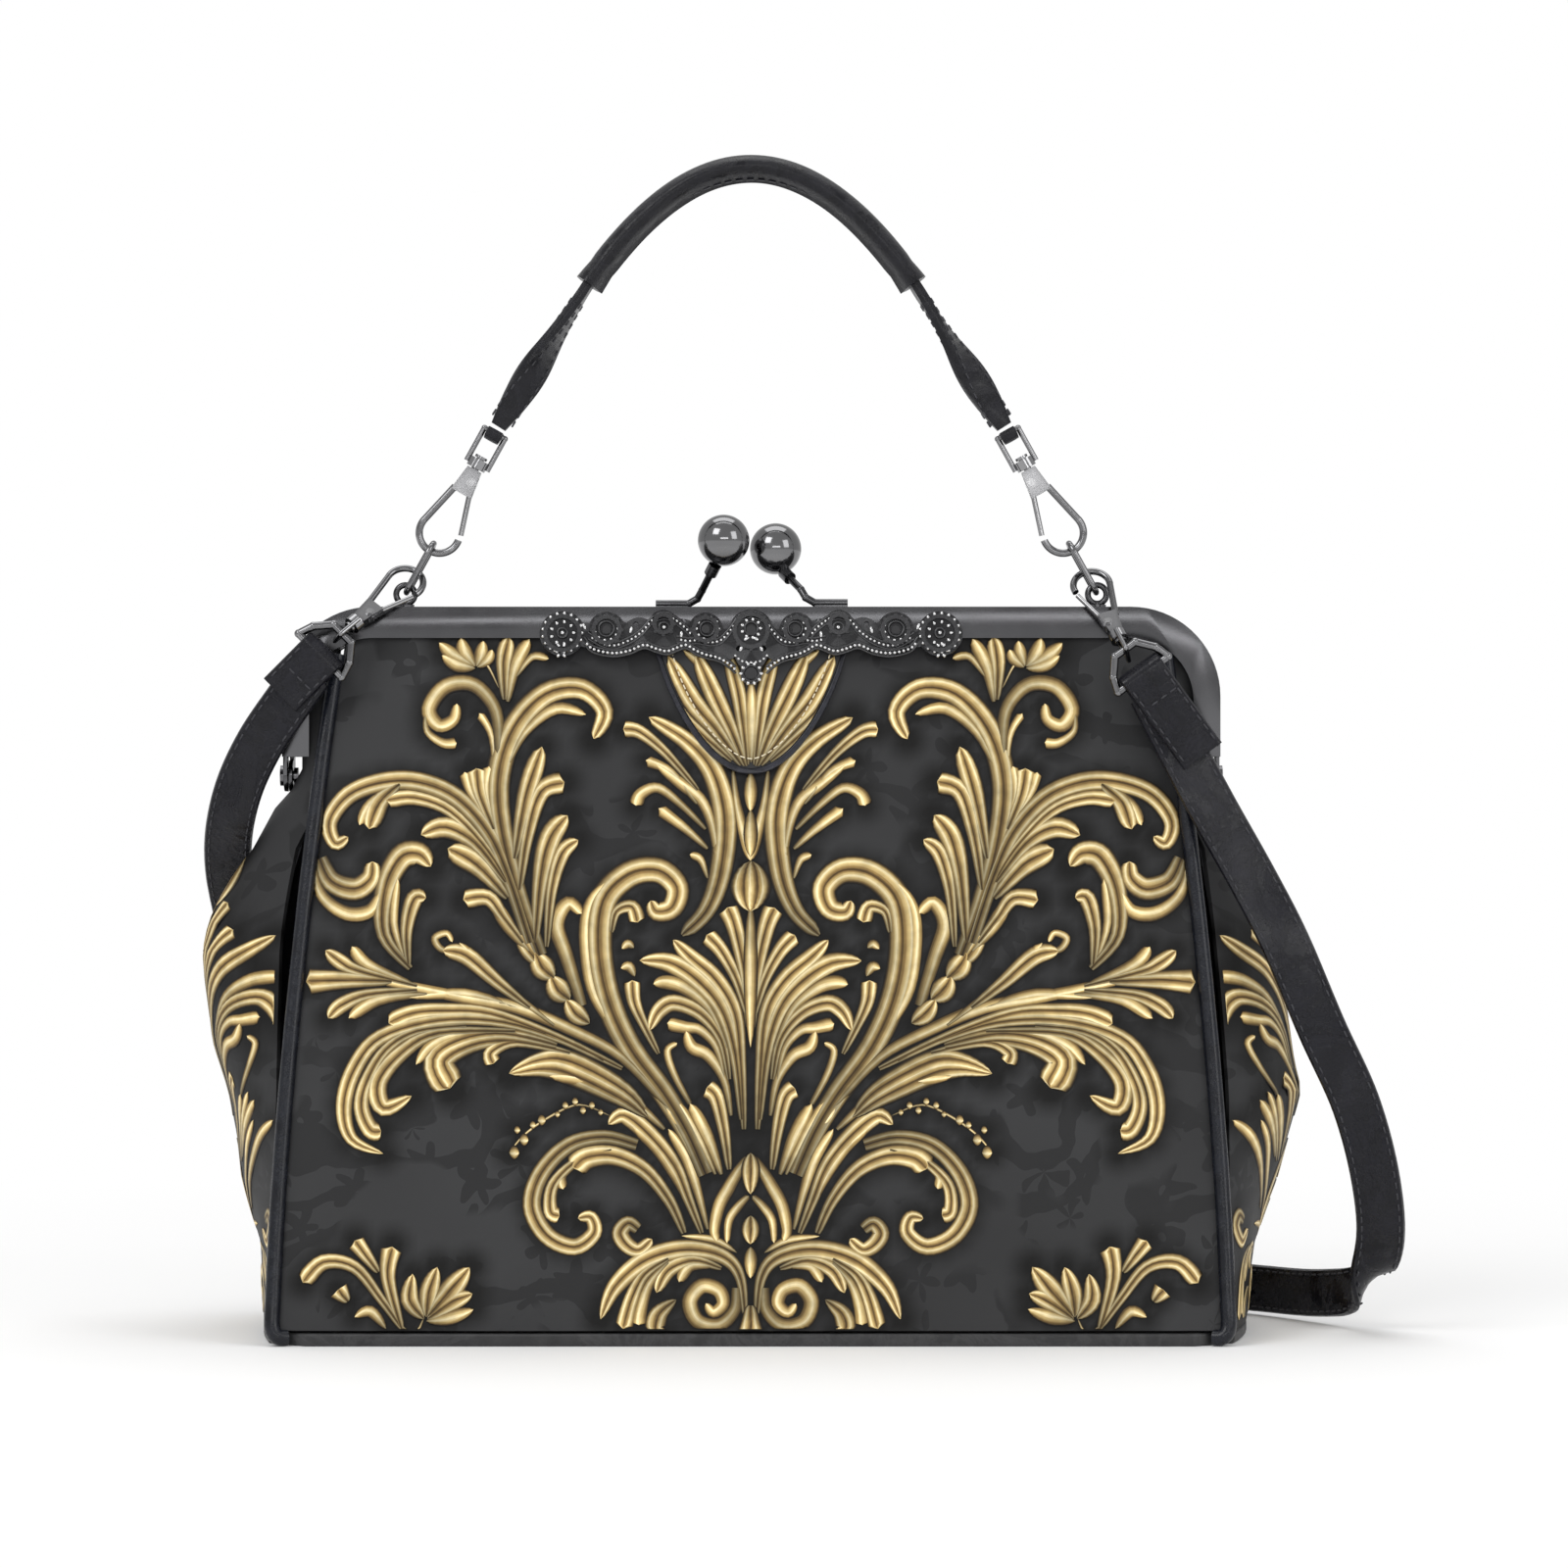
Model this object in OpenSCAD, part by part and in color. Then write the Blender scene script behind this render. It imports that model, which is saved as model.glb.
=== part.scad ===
// Framed handbag with a two-ball clasp, a rolled carrying handle and a shoulder strap.
// X runs along the bag's width, Y from front to back, Z up from the ground.

/* [Bag body] */
// Width of the base over the corner seams
base_w = 270; // [250:1:290]
// Depth of the base, front to back
base_d = 102; // [96:1:112]
// Height of the closed frame above the ground
frame_top = 210; // [205:1:220]
// Distance from the frame's side to the corner seam at the top
seam_inset = 16.5; // [15.5:0.5:21]
// Thickness of a padded front or rear panel
panel_t = 2; // [1.5:0.1:2.4]
// Thickness of the gusset cloth
gusset_t = 1.6; // [1:0.1:2]
// Radius of the leather piping
piping_r = 2.3; // [1.8:0.1:2.6]
// Thickness of the base panel
base_t = 3.6; // [3:0.1:4.5]
// Thickness of the stiffening board
board_t = 2; // [1.5:0.1:3]
// Thickness of the lining cloth
lining_t = 0.8; // [0.5:0.1:1]

/* [Metal frame] */
// Outer width of the frame
frame_w = 272; // [266:1:280]
// Visible height of the top channel
band_h = 9.1; // [8:0.1:10]
// Visible width of a leg
leg_w = 7.9; // [7:0.1:9]
// Outer radius of the top corners
corner_r = 26; // [22:1:30]
// Depth of each half of the frame
half_d = 8.7; // [8:0.1:9.5]
// Gap between the closed halves
half_gap = 0.6; // [0.4:0.1:1]
// Thickness of the frame's sheet
sheet = 1; // [0.8:0.1:1.2]
// Height of the hinge axis above the ground
hinge_z = 161; // [158:1:164]
// Radius of the hinge rivets
hinge_pin_r = 1.5; // [1.2:0.1:1.8]
// Radial running clearance of the hinge rivets and gate pins
pin_fit = 0.05; // [0.03:0.01:0.08]
// Radius of the hinge ears
ear_r = 4.6; // [4:0.1:5]
// Thickness of one hinge ear
ear_t = 1.2; // [1:0.1:1.4]

/* [Ball clasp] */
// Diameter of a clasp ball
ball_d = 15; // [13:0.5:16]
// Gap between the two balls as they pass
ball_gap = 0.1; // [0.05:0.05:0.5]
// Radius of a ball's stem
stem_r = 1.1; // [0.9:0.1:1.4]
// Height of the front ball's centre over the frame
front_ball_h = 17.3; // [16:0.1:19]
// Height of the rear ball's centre over the frame
rear_ball_h = 19.4; // [18:0.1:21]

/* [Ornament and flap] */
// Thickness of the ornament casting
ornament_t = 1.4; // [1:0.1:2]
// Length of the pointed flap below the band
tongue_h = 38; // [34:1:44]
// Width of the flap at the band
tongue_w = 54; // [48:1:60]
// Thickness of the flap
tongue_t = 1.2; // [0.8:0.1:1.3]

/* [Chain parts] */
// Distance of the frame eyes from the middle
eye_x = 100.5; // [95:0.5:104]
// Radius of an eye to the middle of its wire
eye_r = 2.7; // [2.5:0.1:3]
// Wire radius of the eyes and links
wire_r = 0.9; // [0.8:0.05:1]
// Radius of a link's round ends to the middle of its wire
link_r = 3.3; // [3.2:0.1:3.6]
// Distance from the eye's wire to the hook's wire along a link
link_reach = 11.8; // [11:0.1:13]
// Play between two linked wires
link_play = 0.3; // [0.2:0.05:0.4]
// Lean of the handle's chains from upright
chain_lean = 29; // [26:1:32]

/* [Snap hooks] */
// Wire radius of a snap hook
hook_wire = 1.1; // [1:0.05:1.2]
// Radius of a hook's bow to the middle of its wire
bow_r = 5.9; // [5.5:0.1:6.3]
// Distance from a hook's bow to its head
head_z = 19; // [18:0.5:20]
// Length of a hook's head
head_l = 8; // [7:0.5:9]
// Thickness of a hook's head
head_t = 3.2; // [3:0.1:3.6]
// Radius of a gate's pivot pin
gate_pin_r = 0.7; // [0.6:0.05:0.8]
// Half width of a swivel loop to the middle of its wire
loop_half = 3.4; // [3.2:0.1:3.8]
// Size of the shoulder strap's hooks against the handle's
strap_hook_scale = 0.9; // [0.85:0.05:0.95]

/* [Handle] */
// Height of the handle's centre line at its top
grip_z = 337.9; // [330:0.1:345]
// Half width between the ends of the rolled grip
grip_half = 46.3; // [42:0.1:50]
// Thickness of the grip seen from the front
grip_t = 7; // [6.4:0.1:8]
// Depth of the grip, front to back
grip_d = 12.6; // [12:0.1:14]
// Wall of the grip's leather sleeve
grip_wall = 1; // [0.8:0.1:1.2]
// Width of the handle's leather strap
handle_strap_w = 11; // [9:0.5:12]
// Thickness of the doubled handle strap
handle_strap_t = 3.2; // [2.6:0.1:3.4]

/* [Shoulder strap] */
// Width of the shoulder strap
strap_w = 14; // [12:0.5:15]
// Thickness of the shoulder strap
strap_t = 2.8; // [2.4:0.1:3]
// Length of the stitched end fold
fold_l = 29; // [24:1:32]
// Wire radius of the D rings
ring_wire = 1.2; // [1:0.1:1.3]
// Clear width inside a D ring
ring_w = 15.2; // [15.2:0.1:17]

/* [Hidden] */
$fn = 48;

metal = "#3d3d41";
bright = "#8a8a90";
leather = "#1c1c21";
print = "#34322f";
gold = "#b8964f";
cloth = "#26262b";
card = "#8c7a5f";

// The seams, panels and gussets as functions of height
half_w = frame_w / 2;
seam_top_w = frame_w - 2 * seam_inset;
half_y = half_gap / 2;
panel_top_y = half_y + half_d - sheet - 0.1;
seam_z = frame_top - 10;
function seam_x(z) = seam_top_w / 2
  + (base_w - seam_top_w) / 2 * (1 - pow(max(z, 0) / seam_z, 1.7));
panel_lean = atan((base_d / 2 - panel_top_y) / seam_z);
function panel_y(z) = base_d / 2 - z * tan(panel_lean);
fold_z = hinge_z - 15;
fold_top_z = hinge_z + 2;
seam_gap = 0.3;
edge_y = 3.2;
left_bulge = [[4, 6.5], [24, 7], [45, 14], [66, 19], [84, 25], [110, 31], [118, 30],
  [131, 24], [146, 15.5], [160, 11]];
right_bulge = [[4, 9], [24, 12], [45, 19], [60, 24], [70, 28], [90, 26], [120, 22],
  [140, 17], [146, 16], [160, 13]];
gusset_rows = [base_t + 0.2, 14, 24, 34, 45, 58, 70, 84, 97, 110, 118, 131, fold_z];
gusset_top_rows = [fold_z + seam_gap, fold_z + 5, hinge_z - ear_r - 0.9];

// The chain's places, for the left (side -1) or the right (side 1)
hang_y = -half_y - half_d / 2;
eye_z = frame_top + eye_r + wire_r + 0.1;
link_gap = 2 * wire_r + link_play;
function chain_dir(side) = [-side * sin(chain_lean), 0, cos(chain_lean)];
function chain_side(side) = [cos(chain_lean), 0, side * sin(chain_lean)];
function eye_pin(side) = [side * eye_x, hang_y, eye_z] + eye_r * chain_dir(side);
function hook_pin(side) = eye_pin(side) + link_reach * chain_dir(side);
hook_lean = 13.7;
neck_z = head_z + head_l;
neck_r = 1.2;
block_z = neck_z + 0.4;
block_t = 2.8;
block_r = 2.9;
flange_r = 1.9;
loop_bar_z = 39;
loop_wire = 0.8;
gate_pin_z = head_z + 4;
gate_pin_x = 1.2;
gate_t = 1.6;
slot_t = 2;
strap_fold_t = 1.7;

// The shoulder strap's hooks and rings
bow_rise = 4.6;
strap_loop_z = 36.5;
ring_reach = strap_hook_scale * (strap_loop_z - loop_wire) - ring_wire - 0.3;
function bow_pin(side) = eye_pin(side) + bow_rise * chain_dir(side);
function hook_down(side) = unit(side < 0 ? [-21.9, -15, -19.2] : [10.9, -19, -23.9]);
function ring_top(side) = bow_pin(side) + ring_reach * hook_down(side);
function ring_bar(side) = ring_top(side) + (side < 0 ? [-6.6, -0.1, -6.5] : [5.4, 0.4, -7.4]);
function ring_dir(side) = side < 0 ? [0.64, 0, -0.77] : [0.94, 0, 0.34];
function bar_dir(side) = square_to(ring_dir(side), unit(ring_top(side) - ring_bar(side)));
hook_roll = 15;
// Middle of the strap and the direction of its width, from the right ring to the left one
strap_route = [
  [[115.4, -21.6, 184.8], [0.94, 0, 0.34]], [[123, -21.5, 170], [0.93, 0, 0.36]],
  [[133, -23.5, 151], [0.91, 0, 0.4]], [[144, -26, 131], [0.9, 0, 0.43]],
  [[153, -29, 113], [0.91, 0, 0.4]], [[163, -31, 89], [0.93, 0, 0.35]],
  [[173, -30, 67], [0.96, 0, 0.28]], [[179, -27, 45], [0.97, -0.1, 0.2]],
  [[181, -19, 26], [0.85, -0.35, 0.4]], [[177, -6, 13], [0.45, -0.4, 0.8]],
  [[167, 13, 9], [0, 0, 1]], [[149, 40, 8], [0, 0, 1]], [[125, 64, 8], [0, 0, 1]],
  [[92, 82, 8], [0, 0, 1]], [[50, 90, 8], [0, 0, 1]], [[0, 92, 9], [0, 0, 1]],
  [[-45, 90, 16], [-0.1, 0, 1]], [[-84, 82, 32], [-0.3, 0.2, 0.93]],
  [[-116, 68, 56], [-0.5, 0.4, 0.76]], [[-138, 50, 82], [-0.8, 0.3, 0.5]],
  [[-149, 32, 106], [-0.97, 0.1, 0.2]], [[-153, 17, 126], [-1, 0, 0]],
  [[-153, 4, 141], [-0.99, 0, 0.1]], [[-149, -8, 156], [-0.95, 0, 0.3]],
  [[-142, -15, 170], [-0.86, 0, 0.5]], [[-133, -17.5, 183], [-0.72, 0, 0.68]],
  [[-127.4, -18.1, 190.7], [-0.64, 0, 0.77]]];

// Bent wire has a slightly thicker bend, and a straight run starts inside it
knuckle = 0.08;

// Vector helpers
function unit(v) = v / norm(v);
function square_to(v, axis) = unit(v - (v * axis) * axis);
function reversed(list) = [for (i = [len(list) - 1 : -1 : 0]) list[i]];
function mixed(a, b, t) = a + (b - a) * t;
function curve(a, b, c, d, t) = 0.5 * (2 * b + (c - a) * t + (2 * a - 5 * b + 4 * c - d) * t * t
  + (3 * b - a - 3 * c + d) * t * t * t);

// Closed skin through equal rings of points, with flat ends
module loft(rings) {
  n = len(rings[0]);
  m = len(rings);
  sides = [for (i = [0 : m - 2]) for (j = [0 : n - 1])
    let (a = i * n + j, b = i * n + (j + 1) % n)
    each [[a, b + n, b], [a, a + n, b + n]]];
  caps = [[for (j = [0 : n - 1]) j], [for (j = [n - 1 : -1 : 0]) (m - 1) * n + j]];
  polyhedron([for (ring = rings) each ring], concat(sides, caps), convexity = 6);
}

// Solid between a grid of points and the same grid moved by back
module cloth_sheet(grid, back) {
  n = len(grid[0]);
  m = len(grid);
  total = n * m;
  outer = [for (i = [0 : m - 2]) for (j = [0 : n - 2]) let (a = i * n + j)
    each [[a, a + n + 1, a + 1], [a, a + n, a + n + 1]]];
  inner = [for (f = outer) [f[2], f[1], f[0]] + [total, total, total]];
  rims = concat(
    [for (j = [0 : n - 2]) [j, j + 1, j + 1 + total, j + total]],
    [for (j = [0 : n - 2]) let (a = (m - 1) * n + j) [a + 1, a, a + total, a + 1 + total]],
    [for (i = [0 : m - 2]) let (a = i * n) [a + n, a, a + total, a + n + total]],
    [for (i = [0 : m - 2]) let (a = i * n + n - 1) [a, a + n, a + n + total, a + total]]);
  polyhedron([for (shift = [[0, 0, 0], back]) for (row = grid) for (p = row) p + shift],
    concat(outer, inner, rims), convexity = 6);
}

// Places children with their X and Z axes along two directions
module aim(origin, z_dir, x_dir) {
  z = unit(z_dir);
  x = square_to(x_dir, z);
  y = cross(z, x);
  multmatrix([[x[0], y[0], z[0], origin[0]], [x[1], y[1], z[1], origin[1]],
    [x[2], y[2], z[2], origin[2]]]) children();
}

// Extrudes a front-view outline between two depths
module across(y0, y1) {
  translate([0, y1, 0]) rotate([90, 0, 0]) linear_extrude(y1 - y0) children();
}

module rod(a, b, r) {
  aim(a, b - a, abs(unit(b - a)[0]) > 0.9 ? [0, 1, 0] : [1, 0, 0]) cylinder(h = norm(b - a), r = r);
}

module torus(radius, wire, angle = 360) {
  rotate_extrude(angle = angle) translate([radius, 0]) circle(wire);
}

module both_sides() {
  children();
  mirror([1, 0, 0]) children();
}

module rear_side() {
  mirror([0, 1, 0]) children();
}

// Arch with a flat top and two round corners, seen from the front
module arch(half, top, foot, r) {
  intersection() {
    translate([-half, foot]) square([2 * half, top - foot]);
    union() {
      translate([-half, foot]) square([2 * half, top - foot - r]);
      translate([r - half, foot]) square([2 * (half - r), top - foot]);
      for (side = [-1, 1]) translate([side * (half - r), top - r]) circle(r);
    }
  }
}

// One half of the frame, on the front side of the closing plane
module frame_half(ear_in) {
  leg_foot = hinge_z + ear_r + 0.9;
  back = -half_y;
  front = back - half_d;
  difference() {
    across(front, back) difference() {
      arch(half_w, frame_top, leg_foot, corner_r);
      arch(half_w - leg_w, frame_top - band_h, leg_foot - 1, corner_r - leg_w);
    }
    across(front + sheet, back - sheet)
      arch(half_w - sheet, frame_top - sheet, leg_foot - 1, corner_r - sheet);
  }
  both_sides() translate([half_w - ear_in, 0, 0]) rotate([0, -90, 0]) linear_extrude(ear_t)
    difference() {
      union() {
        translate([hinge_z, 0]) circle(ear_r);
        translate([hinge_z, -ear_r - 1.2]) square([ear_r + 3.4, ear_r + 1.2 - half_y]);
      }
      translate([hinge_z, 0]) circle(hinge_pin_r + (ear_in > 0 ? pin_fit : 0));
    }
}

module channel_cord() {
  r = 1.4;
  y = -half_y - sheet - r - 0.2;
  top = frame_top - sheet - r - 1.3;
  side = half_w - sheet - r - 1.3;
  bend = corner_r - sheet - r - 1.3;
  translate([0, y, 0]) {
    rod([bend - side, 0, top], [side - bend, 0, top], r);
    both_sides() {
      translate([side - bend, 0, top - bend]) rotate([90, 0, 0]) torus(bend, r, 90);
      rod([side, 0, hinge_z + 8], [side, 0, top - bend], r);
    }
  }
}

module front_frame() { color(metal) frame_half(0); }

module rear_frame() { color(metal) rear_side() frame_half(ear_t + 0.2); }

module front_channel_cord() { color(card) channel_cord(); }

module rear_channel_cord() { color(card) rear_side() channel_cord(); }

module hinge_rivets() {
  inner = half_w - 2 * ear_t - 0.4;
  color(metal) both_sides() translate([0, 0, hinge_z]) rotate([0, 90, 0]) {
    translate([0, 0, inner - 1]) cylinder(h = half_w - inner + 2, r = hinge_pin_r);
    translate([0, 0, inner - 1.2]) cylinder(h = 1.2, r = 2.4);
    translate([0, 0, half_w]) cylinder(h = 1.2, r = 3);
  }
}

// The clasp: each post leans over to carry its ball beside the other half's ball
ball_r = ball_d / 2;
ball_x = ball_r + ball_gap / 2;
clasp_shift = -0.5;
front_ball_at = [clasp_shift + ball_x, -hang_y - 0.5, frame_top + front_ball_h];
rear_ball_at = [clasp_shift - ball_x, hang_y + 0.5, frame_top + rear_ball_h];

// Bent rod that lies along the frame's top at y, then rises to the collar below the ball
post_end_x = 28;
module ball_post(ball, y) {
  rod_z = frame_top + stem_r + 2 * knuckle;
  path = [[post_end_x, y, rod_z], [18.4, y, rod_z], [15.8, y, rod_z + 1.5],
    [14.4, mixed(y, ball[1], 0.14), rod_z + 3.9]];
  collar = ball + ball_r * unit([0.33, -0.2 * sign(ball[1]), -0.93]);
  pad_w = 1.6 * stem_r;
  translate([18.4, y - pad_w / 2, frame_top]) cube([post_end_x - 18.4, pad_w, stem_r]);
  for (i = [0 : 2]) rod(path[i], path[i + 1], stem_r);
  for (i = [1 : 3]) translate(path[i]) sphere(stem_r + knuckle);
  difference() {
    union() {
      rod(path[3], collar, stem_r);
      rod(mixed(path[3], collar, 0.64), collar, 1.75 * stem_r);
    }
    translate(ball) sphere(ball_r);
  }
}

module front_ball_post() { color(metal) ball_post(front_ball_at, hang_y); }

module rear_ball_post() {
  color(metal) rotate([0, 0, 180])
    ball_post([-rear_ball_at[0], -rear_ball_at[1], rear_ball_at[2]], hang_y);
}

module front_ball() { color(bright) translate(front_ball_at) sphere(ball_r, $fn = 96); }

module rear_ball() { color(bright) translate(rear_ball_at) sphere(ball_r, $fn = 96); }

// The ornament lies on the band and leans out over the flap. Its own plane has X and the height
ornament_tilt = 9;
ornament_at = [0, -half_y - half_d - 0.15, frame_top - 0.8];
module ornament_plane() {
  translate(ornament_at) rotate([90 - ornament_tilt, 0, 0]) children();
}
rose_places = [[0, -6.6, 6.4], [13.2, -6.2, 5], [25.4, -4.6, 4.2], [41.8, -6.4, 5.4],
  [54.6, -7.4, 6.6]];
scallop_places = [[0, -13.6, 4.6], [0, -19.2, 3.1], [7.8, -10.8, 4.6], [14, -9.6, 4.8],
  [20, -7.6, 4.6], [24.4, -8.8, 5], [32.4, -7.4, 4.8], [38.6, -9, 5.4], [48, -7.8, 3.6]];
hole_places = [[6.8, -5.4], [19.6, -3.8], [33.4, -4.6], [48.2, -6.2], [3.6, -11.8]];

module ornament() {
  color(metal) ornament_plane() {
    linear_extrude(ornament_t) difference() {
      union() both_sides() for (p = concat(rose_places, scallop_places)) translate([p[0], p[1]])
        circle(p[2]);
      both_sides() for (p = hole_places) translate(p) circle(0.8, $fn = 24);
    }
    both_sides() for (p = rose_places) translate([p[0], p[1], ornament_t]) difference() {
      cylinder(h = 0.9, r = p[2] - 1);
      translate([0, 0, -0.1]) cylinder(h = 2, r = p[2] - 2.2);
    }
    both_sides() for (p = rose_places) for (i = [0 : 7]) rotate_about(p, i * 45)
      translate([p[2] - 0.9, 0, ornament_t - 0.2]) cylinder(h = 0.8, r = 0.55, $fn = 16);
  }
}

module rotate_about(p, angle) {
  translate([p[0], p[1], 0]) rotate([0, 0, angle]) children();
}

module ornament_stones() {
  color("#0c0c0f") ornament_plane() {
    both_sides() for (i = [1, 3]) translate([rose_places[i][0], rose_places[i][1], ornament_t])
      cylinder(h = 1, r = 1.2);
    translate([0, rose_places[0][1], ornament_t]) cylinder(h = 1.1, r = 1.4);
    translate([0, scallop_places[1][1], ornament_t]) cylinder(h = 1.2, r = 1.7);
  }
}

module ornament_rivets() {
  color(metal) both_sides() for (i = [0, 3]) if (i > 0) rivet_at(rose_places[i][0]);
  color(metal) rivet_at(0);
}

// Short rivet from the front plate to the back of the ornament, half way up the band
module rivet_at(x) {
  z = frame_top - band_h / 2;
  front = -half_y - half_d;
  depth = (frame_top - 0.8 - z) * tan(ornament_tilt) + 0.15 / cos(ornament_tilt);
  difference() {
    translate([x, front, z]) rotate([90, 0, 0]) cylinder(h = depth + 0.6, r = 1);
    ornament_plane() translate([-half_w, -40, 0]) cube([frame_w, 60, 5]);
  }
}

module frame_eyes() {
  color(metal) both_sides() translate([eye_x, hang_y, 0]) {
    translate([0, 0, eye_z]) rotate([90, 0, 0]) torus(eye_r, wire_r);
    translate([0, 0, frame_top]) cylinder(h = 0.7, r = 2.6);
    translate([0, 0, frame_top]) cylinder(h = 1.3, r = 1.1);
  }
}

// Outline in a panel's own plane between two heights, drawn in from the seams by inset
panel_rows = [20, 40, 62, 85, 108, 128, fold_z, fold_z + seam_gap, fold_top_z,
  fold_top_z + seam_gap, 180, seam_z];
function rows_between(z0, z1) = concat([z0], [for (z = panel_rows) if (z > z0 + 0.01 && z < z1 - 0.01) z],
  [z1]);
module panel_slab(z0, z1, inset, depth, t) {
  rows = rows_between(z0, z1);
  right = [for (z = rows) [seam_x(z) - inset, z / cos(panel_lean)]];
  translate([0, -base_d / 2, 0]) rotate([90 - panel_lean, 0, 0]) translate([0, 0, -depth - t])
    linear_extrude(t) polygon(concat(right, [for (p = reversed(right)) [-p[0], p[1]]]));
}
panel_inset = piping_r + 0.3;
panel_foot_z = base_t + 0.7;
panel_end_z = frame_top - 2.5;
lining_depth = panel_t + 0.3;
lining_inset = piping_r + 1.5;

module front_panel() { color(print) panel_slab(panel_foot_z, panel_end_z, panel_inset, 0, panel_t); }

module rear_panel() {
  color(print) rear_side() panel_slab(panel_foot_z, fold_z, panel_inset, 0, panel_t);
}

module rear_panel_fold() {
  color(print) rear_side() {
    panel_slab(fold_z + seam_gap, fold_top_z, panel_inset, 0, panel_t);
    both_sides() piping_run([fold_z + seam_gap, fold_z + 8, fold_top_z]);
  }
}

module rear_panel_top() {
  color(print) rear_side() {
    panel_slab(fold_top_z + seam_gap, panel_end_z, panel_inset, 0, panel_t);
    both_sides() leg_strip(concat([hinge_z + 5.9], leg_rows));
  }
}

// Gusset cloth from the seam to the leg's channel, beside the frame
strip_y = half_y + sheet + 3.7;
strip_x = half_w - sheet - 4.5;
function strip_edge(z) = lookup(z, [[fold_z, strip_x + 9.5], [hinge_z, strip_x],
  [frame_top - 18, strip_x], [frame_top - 7, strip_x - 7.5]]);
leg_rows = [hinge_z + 15, frame_top - 20, frame_top - 8];
strip_back = [-0.56, 0.45, 0];
module leg_strip(rows) {
  cloth_sheet([for (z = rows) let (
    seam = [seam_x(z) + 0.2, edge_y - panel_y(z), z],
    leg = [strip_edge(z), -strip_y, z],
    middle = [mixed(seam[0], leg[0], 0.5) + 0.4, mixed(seam[1], leg[1], 0.75), z])
    [seam, middle, leg]], gusset_t * strip_back);
}

// Gusset cloth as a bulging skin: f runs from the front seam (-1) to the rear one (1)
function gusset_point(z, f, bulge, inset) =
  let (y = f * (panel_y(z) - edge_y))
  [seam_x(z) + lookup(z, bulge) * (1 - pow(abs(y) / panel_y(z), 1.7)) - inset, y, z];
module gusset_skin(rows, bulge, inset, t, f0, f1) {
  steps = 10;
  cloth_sheet([for (z = rows)
    [for (i = [0 : steps]) gusset_point(z, mixed(f0, f1, i / steps), bulge, inset)]], [-t, 0, 0]);
}

module gusset(bulge) {
  color(print) {
    gusset_skin(gusset_rows, bulge, 0, gusset_t, -1, 1);
    leg_strip(concat([fold_z + seam_gap, hinge_z - 5.5, hinge_z], leg_rows));
  }
}

module gusset_top(bulge) { color(print) gusset_skin(gusset_top_rows, bulge, 0, gusset_t, -0.1, 1); }

module left_gusset() { mirror([1, 0, 0]) gusset(left_bulge); }

module right_gusset() { gusset(right_bulge); }

module left_gusset_top() { mirror([1, 0, 0]) gusset_top(left_bulge); }

module right_gusset_top() { gusset_top(right_bulge); }

// Piping along a seam, one round ring per height
function piping_ring(z, inset) = [for (i = [0 : 9]) let (a = i * 36)
  [seam_x(z) - inset + piping_r * cos(a), 0.6 - panel_y(z) + inset / 3 + piping_r * sin(a), z]];
module piping_run(rows) { loft([for (z = rows) piping_ring(z, 0)]); }
foot_rows = [[0.3, 3.6], [1.6, 1.6], [base_t + 1, 0]];
piping_end_z = frame_top - band_h - 11;
module piping_foot(rows) {
  loft(concat([for (p = foot_rows) piping_ring(p[0], p[1])],
    [for (z = concat([20, 45, 70, 95, 120, fold_z], rows)) piping_ring(z, 0)]));
}

module front_piping() {
  color(leather) both_sides() piping_foot([hinge_z + 4, frame_top - 30, piping_end_z]);
}

module rear_piping() { color(leather) rear_side() both_sides() piping_foot([]); }

module rear_piping_top() {
  color(leather) rear_side() both_sides()
    piping_run([fold_top_z + seam_gap, mixed(fold_top_z, piping_end_z, 0.5), piping_end_z]);
}

// Base with the gussets' outline at its ends and its corners cut for the piping
function base_side(bulge) = [for (i = [-5 : 5]) let (f = i / 5 * 0.9)
  let (p = gusset_point(4, f, bulge, 0)) [p[0], p[1]]];
module base_panel() {
  front = base_d / 2 - 0.2;
  corner = base_w / 2 - 9.4;
  right = base_side(right_bulge);
  left = [for (p = base_side(left_bulge)) [-p[0], p[1]]];
  color(leather) linear_extrude(base_t) polygon(concat([[corner, -front]], right,
    [[corner, front], [-corner, front]], reversed(left), [[-corner, -front]]));
}

module base_board() {
  color(card) translate([8 - base_w / 2, 8 - base_d / 2, base_t + 0.3])
    cube([base_w - 16, base_d - 16, board_t]);
}

// Pointed flap below the band, lying on the front panel
tongue_top_z = frame_top - band_h - 0.3;
function tongue_half(u) = tongue_w / 2 * pow(1 - pow(u, 1.35), 0.55);
tongue_edge = [for (i = [0 : 12]) let (u = sin(i * 7.5)) [tongue_half(u), u]];
module tongue_outline(grow, hang) {
  points = [for (p = tongue_edge) [p[0] + grow, (tongue_top_z - p[1] * (tongue_h + hang)) / cos(panel_lean)]];
  polygon(concat(points, [for (p = reversed(points)) [-p[0], p[1]]]));
}
module on_panel(lift) {
  translate([0, -base_d / 2, 0]) rotate([90 - panel_lean, 0, 0]) translate([0, 0, lift]) children();
}
tongue_edge_w = 1.3;

module tongue() {
  color(gold) on_panel(0.05) linear_extrude(tongue_t) tongue_outline(0, 0);
}

module tongue_piping() {
  color(leather) on_panel(0.05) linear_extrude(tongue_t + 0.4) difference() {
    tongue_outline(tongue_edge_w, tongue_edge_w);
    tongue_outline(0.02, 0.02);
    translate([-tongue_w, tongue_top_z / cos(panel_lean) - 0.01]) square([2 * tongue_w, 9]);
  }
}

module lining_front() { color(cloth) panel_slab(7, seam_z, lining_inset, lining_depth, lining_t); }

module lining_rear() {
  color(cloth) rear_side() panel_slab(7, fold_z, lining_inset, lining_depth, lining_t);
}

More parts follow.
